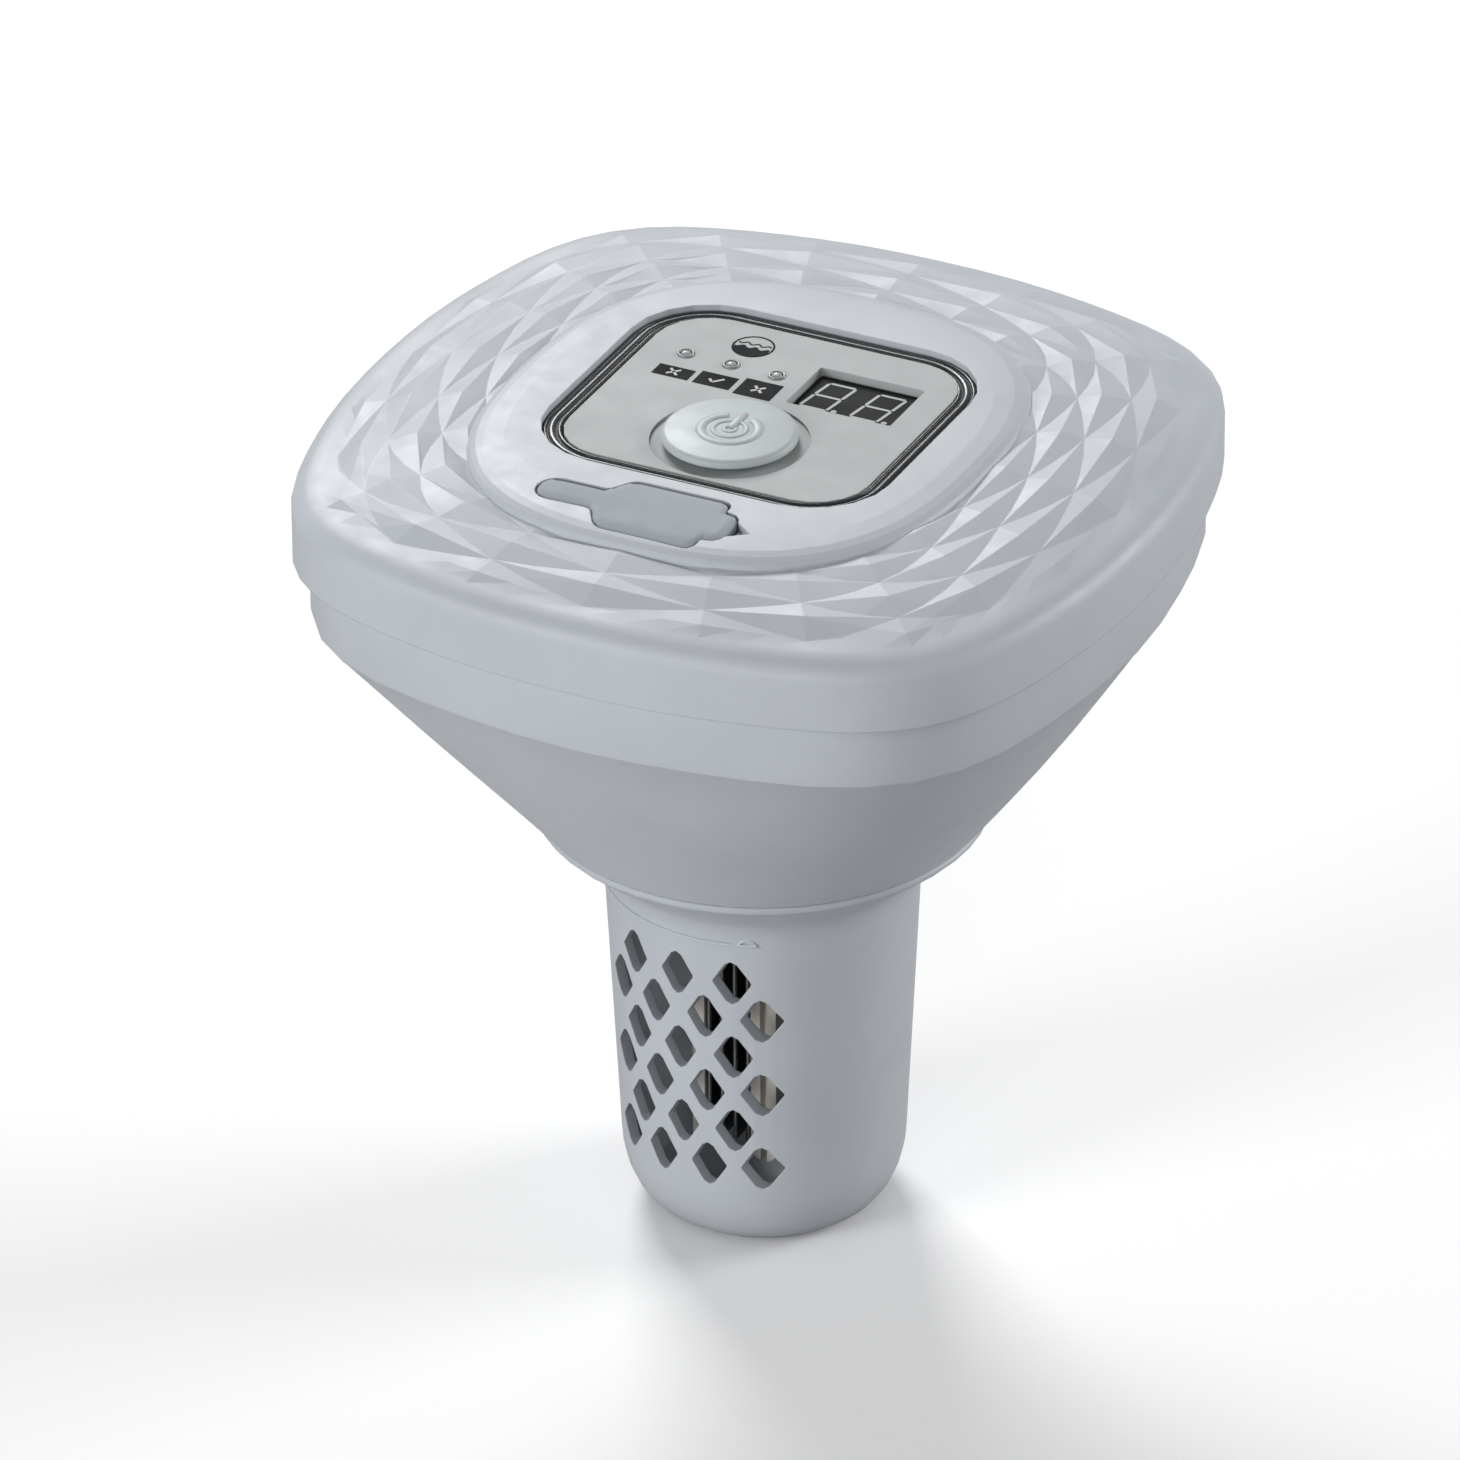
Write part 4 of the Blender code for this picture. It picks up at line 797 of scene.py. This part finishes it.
def make_floor():
    bpy.ops.mesh.primitive_plane_add(size=FLOOR_SIZE, location=(0.0, 0.0, -FLOOR_DROP))
    floor = bpy.context.object
    floor.name = "floor"
    made, nodes, links = new_material("pale_floor")
    shader = nodes["Principled BSDF"]
    shader.inputs["Roughness"].default_value = 0.9
    shader.inputs["Specular IOR Level"].default_value = 0.1
    seen = nodes.new("ShaderNodeLightPath").outputs["Is Camera Ray"]
    colour = blend_colours(nodes, links, seen, [FLOOR_BOUNCE] * 3, [FLOOR_SEEN] * 3)
    links.new(colour, shader.inputs["Base Color"])
    floor.data.materials.append(made)


def area_light(name, position, size, power):
    data = bpy.data.lights.new(name, "AREA")
    data.shape = "SQUARE"
    data.size = size
    data.energy = power
    light = bpy.data.objects.new(name, data)
    bpy.context.scene.collection.objects.link(light)
    light.location = position
    aim = Vector(LIGHT_TARGET) - Vector(position)
    light.rotation_euler = aim.to_track_quat("-Z", "Y").to_euler()


def make_lights_and_world():
    bpy.context.scene.view_settings.view_transform = "Standard"
    world = bpy.data.worlds.new("studio")
    bpy.context.scene.world = world
    world.use_nodes = True
    background = world.node_tree.nodes["Background"]
    background.inputs["Color"].default_value = (1.0, 1.0, 1.0, 1.0)
    background.inputs["Strength"].default_value = WORLD_STRENGTH
    for light in LIGHTS:
        area_light(*light)


def make_camera():
    azimuth, elevation = CAMERA_AZIMUTH, CAMERA_ELEVATION
    back = Vector((
        math.sin(azimuth) * math.cos(elevation),
        -math.cos(azimuth) * math.cos(elevation),
        math.sin(elevation),
    ))
    right = Vector((math.cos(azimuth), math.sin(azimuth), 0.0))
    up = back.cross(right)
    basis = Matrix((right, up, back)).transposed() @ Matrix.Rotation(-CAMERA_ROLL, 3, "Z")
    data = bpy.data.cameras.new("camera")
    data.sensor_width = 36.0
    data.lens = CAMERA_LENS
    data.clip_end = 20.0
    camera = bpy.data.objects.new("camera", data)
    bpy.context.scene.collection.objects.link(camera)
    camera.matrix_world = Matrix.Translation(CAMERA_AIM + back * CAMERA_DISTANCE) @ basis.to_4x4()
    bpy.context.scene.camera = camera


make_camera()
dress_nodes()
make_mouldings()
make_panel()
make_flap()
make_plug_lip()
make_neck_line()
make_plate_edges()
make_floor()
make_lights_and_world()
